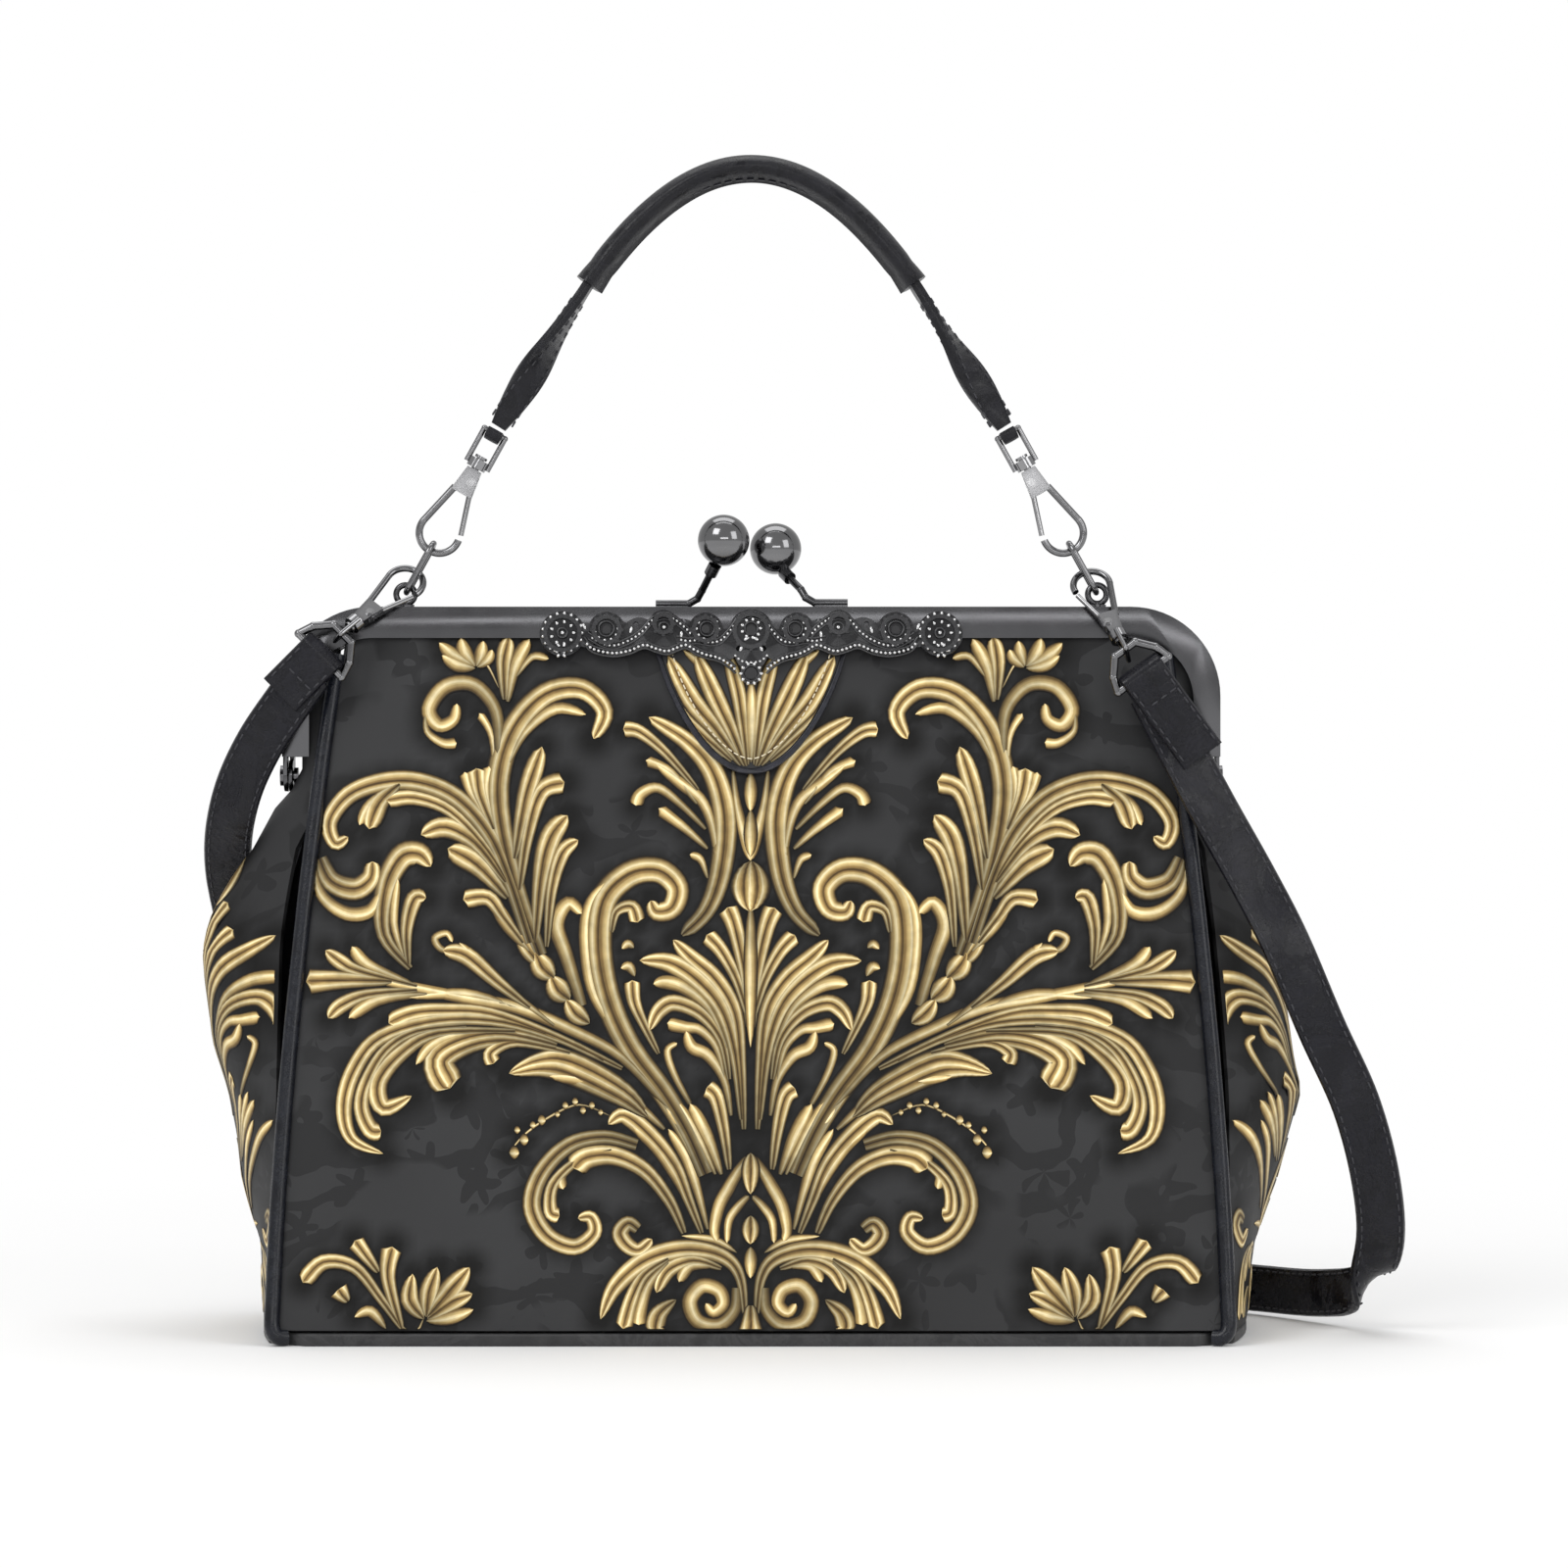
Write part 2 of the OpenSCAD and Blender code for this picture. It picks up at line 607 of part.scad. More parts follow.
module lining_rear_top() {
  color(cloth) rear_side() panel_slab(fold_top_z + seam_gap, seam_z, lining_inset, lining_depth, lining_t);
}

module lining_sides() {
  rows = [for (z = gusset_rows) if (z > 10) z];
  color(cloth) {
    gusset_skin(rows, right_bulge, gusset_t + 1.2, lining_t, -0.9, 0.9);
    mirror([1, 0, 0]) gusset_skin(rows, left_bulge, gusset_t + 1.2, lining_t, -0.9, 0.9);
  }
}

module slip_pocket() {
  z0 = 40;
  z1 = 120;
  color(cloth) rear_side() translate([0, -base_d / 2, 0]) rotate([90 - panel_lean, 0, 0])
    translate([-70, z0 / cos(panel_lean), -lining_depth - 2 * lining_t - 0.2])
      cube([140, (z1 - z0) / cos(panel_lean), lining_t]);
}

// Link in its own frame: Z along the chain from the eye's wire, X through its hole
module link() {
  bottom = link_r - link_gap;
  top = link_reach + link_gap + link_play - link_r;
  rotate([90, 0, 90]) {
    translate([0, top, 0]) torus(link_r, wire_r, 180);
    translate([0, bottom, 0]) rotate([0, 0, 180]) torus(link_r, wire_r, 180);
  }
  for (side = [-1, 1]) rod([0, side * link_r, bottom], [0, side * link_r, top], wire_r);
}

module left_link() { color(metal) aim(eye_pin(-1), chain_dir(-1), chain_side(-1)) link(); }

module right_link() { color(metal) aim(eye_pin(1), chain_dir(1), chain_side(1)) link(); }

// Snap hook in its own frame: Z from the middle of the bow's wire to the head, gate towards +X
module hook() {
  leg_top = [-bow_r * cos(hook_lean) + (head_z + 1 - bow_r * (1 + sin(hook_lean))) * tan(hook_lean),
    0, head_z + 1];
  translate([0, 0, bow_r]) rotate([90, 0, 0]) rotate([0, 0, 180 - hook_lean])
    torus(bow_r, hook_wire, 188 + hook_lean);
  leg_foot = [-bow_r * cos(hook_lean), 0, bow_r * (1 + sin(hook_lean))];
  rod(mixed(leg_foot, leg_top, -0.02), leg_top, hook_wire - knuckle / 2);
  difference() {
    across(-head_t / 2, head_t / 2)
      polygon([[-3.3, head_z], [3.1, head_z], [2.2, neck_z], [-2.2, neck_z]]);
    translate([-0.9, -slot_t / 2, head_z - 1]) cube([6, slot_t, 7.2]);
    translate([gate_pin_x, 0, gate_pin_z]) rotate([90, 0, 0])
      cylinder(h = head_t + 1, r = gate_pin_r, center = true);
  }
  translate([0, 0, neck_z]) cylinder(h = block_t + 0.8, r = neck_r);
  translate([0, 0, block_z + block_t + 0.3]) cylinder(h = 0.8, r = flange_r);
}

// Sprung gate from the pivot pin to the tip of the bow
module gate() {
  tip = [bow_r - 0.1, 0, bow_r + 2.3];
  root = [gate_pin_x + 1.1, 0, gate_pin_z - 3.4];
  difference() {
    across(-gate_t / 2, gate_t / 2) union() {
      translate([gate_pin_x, gate_pin_z]) circle(1.7);
      polygon([[gate_pin_x - 1.2, gate_pin_z], [gate_pin_x + 0.3, gate_pin_z - 3.9],
        [gate_pin_x + 2.1, gate_pin_z - 3.9], [gate_pin_x + 1.6, gate_pin_z]]);
    }
    translate([gate_pin_x, 0, gate_pin_z]) rotate([90, 0, 0])
      cylinder(h = 5, r = gate_pin_r + pin_fit, center = true);
  }
  rod(root, tip, gate_t / 2);
}

module gate_pin() {
  translate([gate_pin_x, 0, gate_pin_z]) rotate([90, 0, 0]) {
    cylinder(h = head_t, r = gate_pin_r, center = true);
    for (side = [0, 1]) mirror([0, 0, side]) translate([0, 0, head_t / 2]) {
      cylinder(h = 0.4, r = 1.4);
      cylinder(h = 0.8, r = 1);
    }
  }
}

// Swivel: a block that turns on the hook's neck, with a wire loop of the given height
module swivel(bar_z) {
  difference() {
    translate([0, 0, block_z]) cylinder(h = block_t, r = block_r);
    translate([0, 0, block_z - 1]) cylinder(h = block_t + 2, r = neck_r + pin_fit);
  }
  for (side = [-1, 1]) {
    rod([side * loop_half, 0, block_z + 0.8], [side * loop_half, 0, bar_z], loop_wire);
    translate([side * loop_half, 0, bar_z]) sphere(loop_wire + knuckle);
  }
  rod([-loop_half, 0, bar_z], [loop_half, 0, bar_z], loop_wire);
}

// A handle hook hangs in its link. Its gate faces the middle of the bag
module at_handle_hook(side) {
  aim(hook_pin(side), chain_dir(side), -side * chain_side(side)) children();
}

module left_handle_hook() { color(metal) at_handle_hook(-1) hook(); }

module right_handle_hook() { color(metal) at_handle_hook(1) hook(); }

module left_handle_gate() { color(bright) at_handle_hook(-1) gate(); }

module right_handle_gate() { color(bright) at_handle_hook(1) gate(); }

module left_handle_gate_pin() { color(bright) at_handle_hook(-1) gate_pin(); }

module right_handle_gate_pin() { color(bright) at_handle_hook(1) gate_pin(); }

module left_handle_swivel() { color(metal) at_handle_hook(-1) swivel(loop_bar_z); }

module right_handle_swivel() { color(metal) at_handle_hook(1) swivel(loop_bar_z); }

// A shoulder hook hangs in the same link and runs down to its D ring, rolled so as to clear the frame
module at_strap_hook(side) {
  aim(bow_pin(side), hook_down(side), -side * chain_side(side))
    rotate([0, 0, -side * hook_roll]) scale(strap_hook_scale) children();
}

// Its swivel turns on the neck, so that the loop lies square to the D ring's wire
module at_strap_swivel(side) {
  aim(bow_pin(side), hook_down(side), cross(ring_dir(side), hook_down(side)))
    scale(strap_hook_scale) children();
}

module left_strap_hook() { color(metal) at_strap_hook(-1) hook(); }

module right_strap_hook() { color(metal) at_strap_hook(1) hook(); }

module left_strap_gate() { color(bright) at_strap_hook(-1) gate(); }

module right_strap_gate() { color(bright) at_strap_hook(1) gate(); }

module left_strap_gate_pin() { color(bright) at_strap_hook(-1) gate_pin(); }

module right_strap_gate_pin() { color(bright) at_strap_hook(1) gate_pin(); }

module left_strap_swivel() { color(metal) at_strap_swivel(-1) swivel(strap_loop_z); }

module right_strap_swivel() { color(metal) at_strap_swivel(1) swivel(strap_loop_z); }

// D ring with its straight bar at the origin along X and its bow towards Z
module d_ring(height) {
  r = ring_w / 2 + ring_wire;
  leg = height - r * 0.55;
  rod([-r, 0, 0], [r, 0, 0], ring_wire);
  for (side = [-1, 1]) {
    translate([side * r, 0, 0]) sphere(ring_wire + knuckle);
    rod([side * r, 0, 0], [side * (r - 1.4), 0, leg], ring_wire);
    translate([side * (r - 1.4), 0, leg]) sphere(ring_wire + knuckle);
    rod([side * (r - 1.4), 0, leg], [side * 3.6, 0, height - 0.3], ring_wire);
    translate([side * 3.6, 0, height - 0.3]) sphere(ring_wire + knuckle);
  }
  rod([-3.6, 0, height - 0.3], [3.6, 0, height - 0.3], ring_wire);
}

module strap_ring(side) {
  up = ring_top(side) - ring_bar(side);
  color(metal) aim(ring_bar(side), up, ring_dir(side)) d_ring(norm(up));
}

module left_strap_ring() { strap_ring(-1); }

module right_strap_ring() { strap_ring(1); }

// Flat band through stations of middle, width direction, width and thickness
function band_ring(p, along, wide, w, t) =
  let (x = square_to(wide, along), n = cross(along, x), c = t * 0.3)
  [for (q = [[w / 2, c - t / 2], [w / 2, t / 2 - c], [w / 2 - c, t / 2], [c - w / 2, t / 2],
    [-w / 2, t / 2 - c], [-w / 2, c - t / 2], [c - w / 2, -t / 2], [w / 2 - c, -t / 2]])
    p + q[0] * x + q[1] * n];
function at_end(list, i) = list[max(0, min(len(list) - 1, i))];
function smooth(list, n) = [for (i = [0 : len(list) - 2]) for (k = [0 : n - 1])
  curve(at_end(list, i - 1), list[i], list[i + 1], at_end(list, i + 2), k / n)];
function smoothed(list, n) = concat(smooth(list, n), [list[len(list) - 1]]);
module band(places, widths, w, t) {
  loft([for (i = [0 : len(places) - 1])
    let (along = unit(at_end(places, i + 1) - at_end(places, i - 1)))
    band_ring(places[i], along, widths[i], is_list(w) ? w[i] : w, is_list(t) ? t[i] : t)]);
}

// Leather folded round a bar along X and stitched flat below it
module end_fold(width, bar, t, length) {
  r = bar + 0.25 + t;
  rotate([90, 0, 90]) translate([0, 0, -width / 2]) linear_extrude(width) difference() {
    union() {
      circle(r);
      translate([-t - 0.2, -length]) square([2 * t + 0.4, length - bar]);
    }
    circle(bar + 0.25);
  }
}

module at_ring_bar(side, toward) {
  aim(ring_bar(side), square_to(ring_bar(side) - toward, bar_dir(side)), bar_dir(side)) children();
}

module shoulder_strap() {
  places = [for (s = strap_route) s[0]];
  widths = [for (s = strap_route) s[1]];
  fold_w = strap_w - 1.2;
  color(leather) {
    band(smoothed(places, 3), smoothed(widths, 3), strap_w, strap_t);
    at_ring_bar(1, places[1]) end_fold(fold_w, ring_wire, 2.1, fold_l);
    at_ring_bar(-1, places[len(places) - 3]) end_fold(fold_w, ring_wire, 2.1, 16);
  }
}

// The handle's centre line: straight straps up to the grip, then a parabola over the top
grip_end_z = 305.6;
grip_drop = (grip_z - grip_end_z) / (grip_half * grip_half);
function grip_point(x) = [x, hang_y, grip_z - grip_drop * x * x];
function loop_bar(side) = hook_pin(side) + loop_bar_z * chain_dir(side);
function strap_half(side) =
  let (bar = loop_bar(side) + 2.2 * chain_dir(side), top = grip_point(side * grip_half))
  [bar, mixed(bar, top, 0.15), mixed(bar, top, 0.35), mixed(bar, top, 0.6), mixed(bar, top, 0.85),
    grip_point(side * (grip_half - 2)), grip_point(side * 38)];
twist = [0, 0.15, 0.45, 0.8, 1, 1, 1];
end_w = [4.8, 7.6, 9.6, handle_strap_w - 0.4, handle_strap_w, 9, 9];
end_t = [3, 3.3, handle_strap_t, handle_strap_t, handle_strap_t, 1.8, 1.8];
grip_steps = [for (x = [-30 : 10 : 30]) x];

module handle_strap() {
  places = concat(strap_half(-1), [for (x = grip_steps) grip_point(x)], reversed(strap_half(1)));
  left_wide = [for (t = twist) mixed(chain_side(-1), [0, 1, 0], t)];
  right_wide = [for (t = reversed(twist)) mixed(-chain_side(1), [0, 1, 0], t)];
  widths = concat(left_wide, [for (x = grip_steps) [0, 1, 0]], right_wide);
  w = concat(end_w, [for (x = grip_steps) 9], reversed(end_w));
  t = concat(end_t, [for (x = grip_steps) 1.8], reversed(end_t));
  color(leather) {
    band(places, widths, w, t);
    for (side = [-1, 1]) aim(loop_bar(side), -chain_dir(side), chain_side(side))
      end_fold(end_w[0], loop_wire, strap_fold_t, 5);
  }
}

// Oval rings across the grip's centre line
function grip_ring(x, t, d) =
  let (along = unit([1, 0, -2 * grip_drop * x]), up = [-along[2], 0, along[0]])
  [for (i = [0 : 15]) let (a = -i * 22.5) grip_point(x) + t / 2 * cos(a) * up + [0, d / 2 * sin(a), 0]];
module grip_sweep(t, d, reach) {
  loft([for (i = [-10 : 10]) grip_ring(i / 10 * (grip_half + reach), t, d)]);
}

module handle_grip() {
  color(leather) difference() {
    grip_sweep(grip_t, grip_d, 0);
    grip_sweep(grip_t - 2 * grip_wall, grip_d - 2 * grip_wall, 1);
  }
}

module grip_padding() {
  inner = 2 * grip_wall + 0.4;
  color(card) difference() {
    grip_sweep(grip_t - inner, grip_d - inner, -5);
    band([for (x = [-46, -36, -26, -16, -8, 0, 8, 16, 26, 36, 46]) grip_point(x)],
      [for (i = [0 : 10]) [0, 1, 0]], 9.8, 2.6);
  }
}

front_frame();
front_channel_cord();
hinge_rivets();
front_ball_post();
front_ball();
ornament();
ornament_stones();
ornament_rivets();
frame_eyes();
front_panel();
rear_panel();
rear_panel_fold();
left_gusset();
right_gusset();
left_gusset_top();
right_gusset_top();
front_piping();
rear_piping();
base_panel();
base_board();
tongue();
tongue_piping();
lining_front();
lining_rear();
lining_sides();
slip_pocket();
shoulder_strap();
left_strap_ring();
right_strap_ring();
left_strap_swivel();
right_strap_swivel();
left_strap_hook();
right_strap_hook();
left_strap_gate();
right_strap_gate();
left_strap_gate_pin();
right_strap_gate_pin();
left_link();
right_link();
handle_strap();
handle_grip();
grip_padding();
left_handle_swivel();
right_handle_swivel();
left_handle_hook();
right_handle_hook();
left_handle_gate();
right_handle_gate();
left_handle_gate_pin();
right_handle_gate_pin();
rear_frame();
rear_channel_cord();
rear_ball_post();
rear_ball();
rear_panel_top();
rear_piping_top();
lining_rear_top();
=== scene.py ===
import math

import bpy
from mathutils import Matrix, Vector, kdtree, noise


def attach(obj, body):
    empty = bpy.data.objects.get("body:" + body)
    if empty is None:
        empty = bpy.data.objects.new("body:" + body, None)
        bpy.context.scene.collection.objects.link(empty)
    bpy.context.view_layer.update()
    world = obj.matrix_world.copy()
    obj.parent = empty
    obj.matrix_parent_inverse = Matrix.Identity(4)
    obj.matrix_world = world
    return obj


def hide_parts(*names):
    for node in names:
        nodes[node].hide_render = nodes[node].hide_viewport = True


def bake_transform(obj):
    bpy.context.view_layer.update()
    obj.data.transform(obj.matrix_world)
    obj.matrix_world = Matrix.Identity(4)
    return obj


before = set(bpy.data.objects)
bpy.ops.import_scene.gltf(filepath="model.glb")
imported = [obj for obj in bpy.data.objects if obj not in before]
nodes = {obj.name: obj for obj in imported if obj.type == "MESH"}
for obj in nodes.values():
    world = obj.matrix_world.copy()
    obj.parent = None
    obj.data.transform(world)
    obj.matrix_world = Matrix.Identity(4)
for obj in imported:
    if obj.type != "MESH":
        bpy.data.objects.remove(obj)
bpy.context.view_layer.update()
mm = 0.001
view = dict(place=(0.0095, -1.53, 0.1586), lens=120.5, sensor=36)  # stands where the photographer stood

# The bag's own lines, in metres, as the frame has them
bag = dict(
    baseHalf=0.135, baseDepth=0.051, seamTopHalf=0.1195, seamTop=0.2, panelTopDepth=0.0079,
    foot=0.0038, frameTop=0.21, hinge=0.161,
    foldStart=0.146, foldEnd=0.1635, hangY=-0.00465, piping=0.0023,
)


def clearSelection():
    if bpy.context.object and bpy.context.object.mode != "OBJECT":
        bpy.ops.object.mode_set(mode="OBJECT")
    bpy.ops.object.select_all(action="DESELECT")


def makeActive(piece):
    clearSelection()
    piece.select_set(True)
    bpy.context.view_layer.objects.active = piece


def pieceFrom(name, verts, faces, uvs=None, strands=None):
    mesh = bpy.data.meshes.new(name)
    mesh.from_pydata([tuple(v) for v in verts], [], faces)
    for layerName, values in (("UVMap", uvs), ("Strands", strands)):
        if values:
            layer = mesh.uv_layers.new(name=layerName)
            for loop in mesh.loops:
                layer.data[loop.index].uv = values[loop.vertex_index]
    mesh.update()
    piece = bpy.data.objects.new(name, mesh)
    bpy.context.scene.collection.objects.link(piece)
    return piece


def finished(piece, material, body, replaced=(), smooth=40):
    makeActive(piece)
    bpy.ops.object.shade_smooth_by_angle(angle=math.radians(smooth))
    piece.data.materials.clear()
    piece.data.materials.append(material)
    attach(piece, body)
    if replaced:
        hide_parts(*replaced)
    return piece


def applied(piece, kind, **settings):
    makeActive(piece)
    modifier = piece.modifiers.new(kind.title(), kind)
    for key, value in settings.items():
        setattr(modifier, key, value)
    bpy.ops.object.modifier_apply(modifier=modifier.name)
    return piece


def outwards(piece):
    makeActive(piece)
    bpy.ops.object.mode_set(mode="EDIT")
    bpy.ops.mesh.select_all(action="SELECT")
    bpy.ops.mesh.normals_make_consistent(inside=False)
    bpy.ops.object.mode_set(mode="OBJECT")
    return piece


def joined(name, parts):
    clearSelection()
    for part in parts:
        part.select_set(True)
    bpy.context.view_layer.objects.active = parts[0]
    bpy.ops.object.join()
    parts[0].name = name
    return parts[0]


def mix(a, b, t):
    return a + (b - a) * t


def lookup(x, table):
    if x <= table[0][0]:
        return table[0][1]
    for (x0, y0), (x1, y1) in zip(table, table[1:]):
        if x <= x1:
            return mix(y0, y1, (x - x0) / (x1 - x0))
    return table[-1][1]


def curved(points, steps):
    points = [Vector(p) for p in points]
    line = []
    for i in range(len(points) - 1):
        a = points[max(i - 1, 0)]
        b, c = points[i], points[i + 1]
        d = points[min(i + 2, len(points) - 1)]
        for k in range(steps):
            t = k / steps
            line.append(0.5 * (2 * b + (c - a) * t + (2 * a - 5 * b + 4 * c - d) * t * t
                               + (3 * b - a - 3 * c + d) * t ** 3))
    line.append(points[-1])
    return line


def alongLine(line, i):
    return (line[min(i + 1, len(line) - 1)] - line[max(i - 1, 0)]).normalized()


def square(direction, along):
    return (direction - direction.dot(along) * along).normalized()


def between(value, low, high):
    return max(low, min(high, value))


def gridFaces(rows, columns, turned=False):
    wide = columns + 1
    faces = []
    for j in range(rows):
        for i in range(columns):
            a = j * wide + i
            face = (a, a + 1, a + wide + 1, a + wide)
            faces.append(face[::-1] if turned else face)
    return faces


def ringFaces(rings, around, start=0):
    faces = []
    for i in range(rings - 1):
        for k in range(around):
            a, b = start + i * around + k, start + i * around + (k + 1) % around
            faces.append((a, b, b + around, a + around))
    faces.append(tuple(range(start, start + around))[::-1])
    faces.append(tuple(range(start + (rings - 1) * around, start + rings * around)))
    return faces


def tube(name, line, radius, sides=14):
    verts = []
    line = [Vector(p) for p in line]
    radii = radius if isinstance(radius, list) else [radius] * len(line)
    first = (line[1] - line[0]).normalized()
    side = first.cross(Vector((0, 1, 0)))
    if side.length < 0.1:
        side = first.cross(Vector((0, 0, 1)))
    side.normalize()
    for i, point in enumerate(line):
        along = alongLine(line, i)
        side = square(side, along)
        other = along.cross(side)
        for k in range(sides):
            a = 2 * math.pi * k / sides
            verts.append(point + radii[i] * (math.cos(a) * side + math.sin(a) * other))
    return pieceFrom(name, verts, ringFaces(len(line), sides))


print("stage: materials")


def newMaterial(name):
    material = bpy.data.materials.new(name)
    material.use_nodes = True
    tree = material.node_tree
    tree.nodes.clear()
    output = tree.nodes.new("ShaderNodeOutputMaterial")
    shader = tree.nodes.new("ShaderNodeBsdfPrincipled")
    tree.links.new(shader.outputs["BSDF"], output.inputs["Surface"])
    return material, tree, shader


def node(tree, kind, inputs=None, **settings):
    made = tree.nodes.new("ShaderNode" + kind)
    for key, value in settings.items():
        setattr(made, key, value)
    for key, value in (inputs or {}).items():
        if isinstance(value, bpy.types.NodeSocket):
            tree.links.new(value, made.inputs[key])
        else:
            made.inputs[key].default_value = value
    return made


def places(tree, source="Object", scale=(1, 1, 1)):
    coordinates = node(tree, "TexCoord")
    return node(tree, "Mapping", {"Vector": coordinates.outputs[source], "Scale": scale}).outputs[0]


def ramp(tree, value, stops, interpolation="LINEAR"):
    made = node(tree, "ValToRGB", {"Fac": value})
    made.color_ramp.interpolation = interpolation
    elements = made.color_ramp.elements
    while len(elements) < len(stops):
        elements.new(0.5)
    for element, (place, shade) in zip(elements, stops):
        element.position = place
        element.color = (*shade, 1) if isinstance(shade, tuple) else (shade, shade, shade, 1)
    return made.outputs["Color"]


def calc(tree, operation, a, b=0.0, c=0.0):
    return node(tree, "Math", {0: a, 1: b, 2: c}, operation=operation).outputs[0]


def mixed(tree, factor, a, b, blend="MIX"):
    made = node(tree, "Mix", data_type="RGBA", blend_type=blend)
    for index, value in ((0, factor), (6, a), (7, b)):
        if isinstance(value, bpy.types.NodeSocket):
            tree.links.new(value, made.inputs[index])
        elif index:
            made.inputs[index].default_value = (*value, 1)
        else:
            made.inputs[index].default_value = value
    return made.outputs[2]


def bumped(tree, shader, height, strength, distance, under=None):
    inputs = {"Height": height, "Strength": strength, "Distance": distance}
    if under:
        inputs["Normal"] = under
    bump = node(tree, "Bump", inputs)
    tree.links.new(bump.outputs[0], shader.inputs["Normal"])
    return bump.outputs[0]


def metalMaterial(name, dark, light, rough, brush):
    material, tree, shader = newMaterial(name)
    where = places(tree)
    cloudy = node(tree, "TexNoise", {"Vector": where, "Scale": 90.0, "Detail": 5.0}).outputs[0]
    fine = node(tree, "TexNoise", {"Vector": places(tree, scale=(60, 700, 700)), "Scale": 3.0,
                                   "Detail": 4.0}).outputs[0]
    edge = node(tree, "NewGeometry").outputs["Pointiness"]
    # The Pointiness mask picks out the sharp edges, where a painted edge highlight goes
    wearAndSheen = ramp(tree, edge, [(0.5, 0.0), (0.58, 1.0)])
    tone = mixed(tree, cloudy, dark, light)
    edgeHighlightTone = tuple(min(1, 2.2 * c) for c in light)  # painted edge highlight: a lighter tone on the sharp edges
    tone = mixed(tree, calc(tree, "MULTIPLY", wearAndSheen, 0.45), tone, edgeHighlightTone)
    tree.links.new(tone, shader.inputs["Base Color"])
    shader.inputs["Metallic"].default_value = 1.0
    roughness = calc(tree, "MULTIPLY_ADD", cloudy, 0.16, rough - 0.06)
    tree.links.new(roughness, shader.inputs["Roughness"])
    bumped(tree, shader, fine, brush, 0.00004)
    return material


def leatherMaterial(name, dark, light, rough, grain, crinkle, coat):
    material, tree, shader = newMaterial(name)
    where = places(tree)
    pores = node(tree, "TexVoronoi", {"Vector": where, "Scale": grain, "Randomness": 1.0},
                 feature="DISTANCE_TO_EDGE").outputs[0]
    pores = ramp(tree, pores, [(0.0, 0.0), (0.22, 1.0)])
    warp = node(tree, "TexNoise", {"Vector": where, "Scale": 160.0, "Detail": 6.0, "Roughness": 0.62})
    folds = node(tree, "TexNoise", {"Vector": where, "Scale": 45.0, "Detail": 8.0, "Roughness": 0.7,
                                    "Distortion": 1.4}).outputs[0]
    cracks = calc(tree, "ABSOLUTE", calc(tree, "SUBTRACT", folds, 0.5))
    cracks = ramp(tree, cracks, [(0.0, 0.0), (0.07, 1.0)])
    tone = mixed(tree, ramp(tree, warp.outputs[0], [(0.3, 0.0), (0.75, 1.0)]), dark, light)
    dusty = tuple(min(1.0, 2.4 * c + 0.01) for c in light)
    tone = mixed(tree, calc(tree, "MULTIPLY", calc(tree, "SUBTRACT", 1.0, cracks), 0.16), tone, dusty)
    tree.links.new(tone, shader.inputs["Base Color"])
    spread = calc(tree, "MULTIPLY_ADD", warp.outputs[0], 0.34, rough - 0.14)
    tree.links.new(spread, shader.inputs["Roughness"])
    shader.inputs["Coat Weight"].default_value = coat
    shader.inputs["Coat Roughness"].default_value = 0.16
    shader.inputs["Specular IOR Level"].default_value = 0.22
    first = bumped(tree, shader, pores, 0.35, 0.00006)
    second = bumped(tree, shader, warp.outputs[0], 0.5, 0.0003, first)
    bumped(tree, shader, cracks, crinkle, 0.0003, second)
    return material


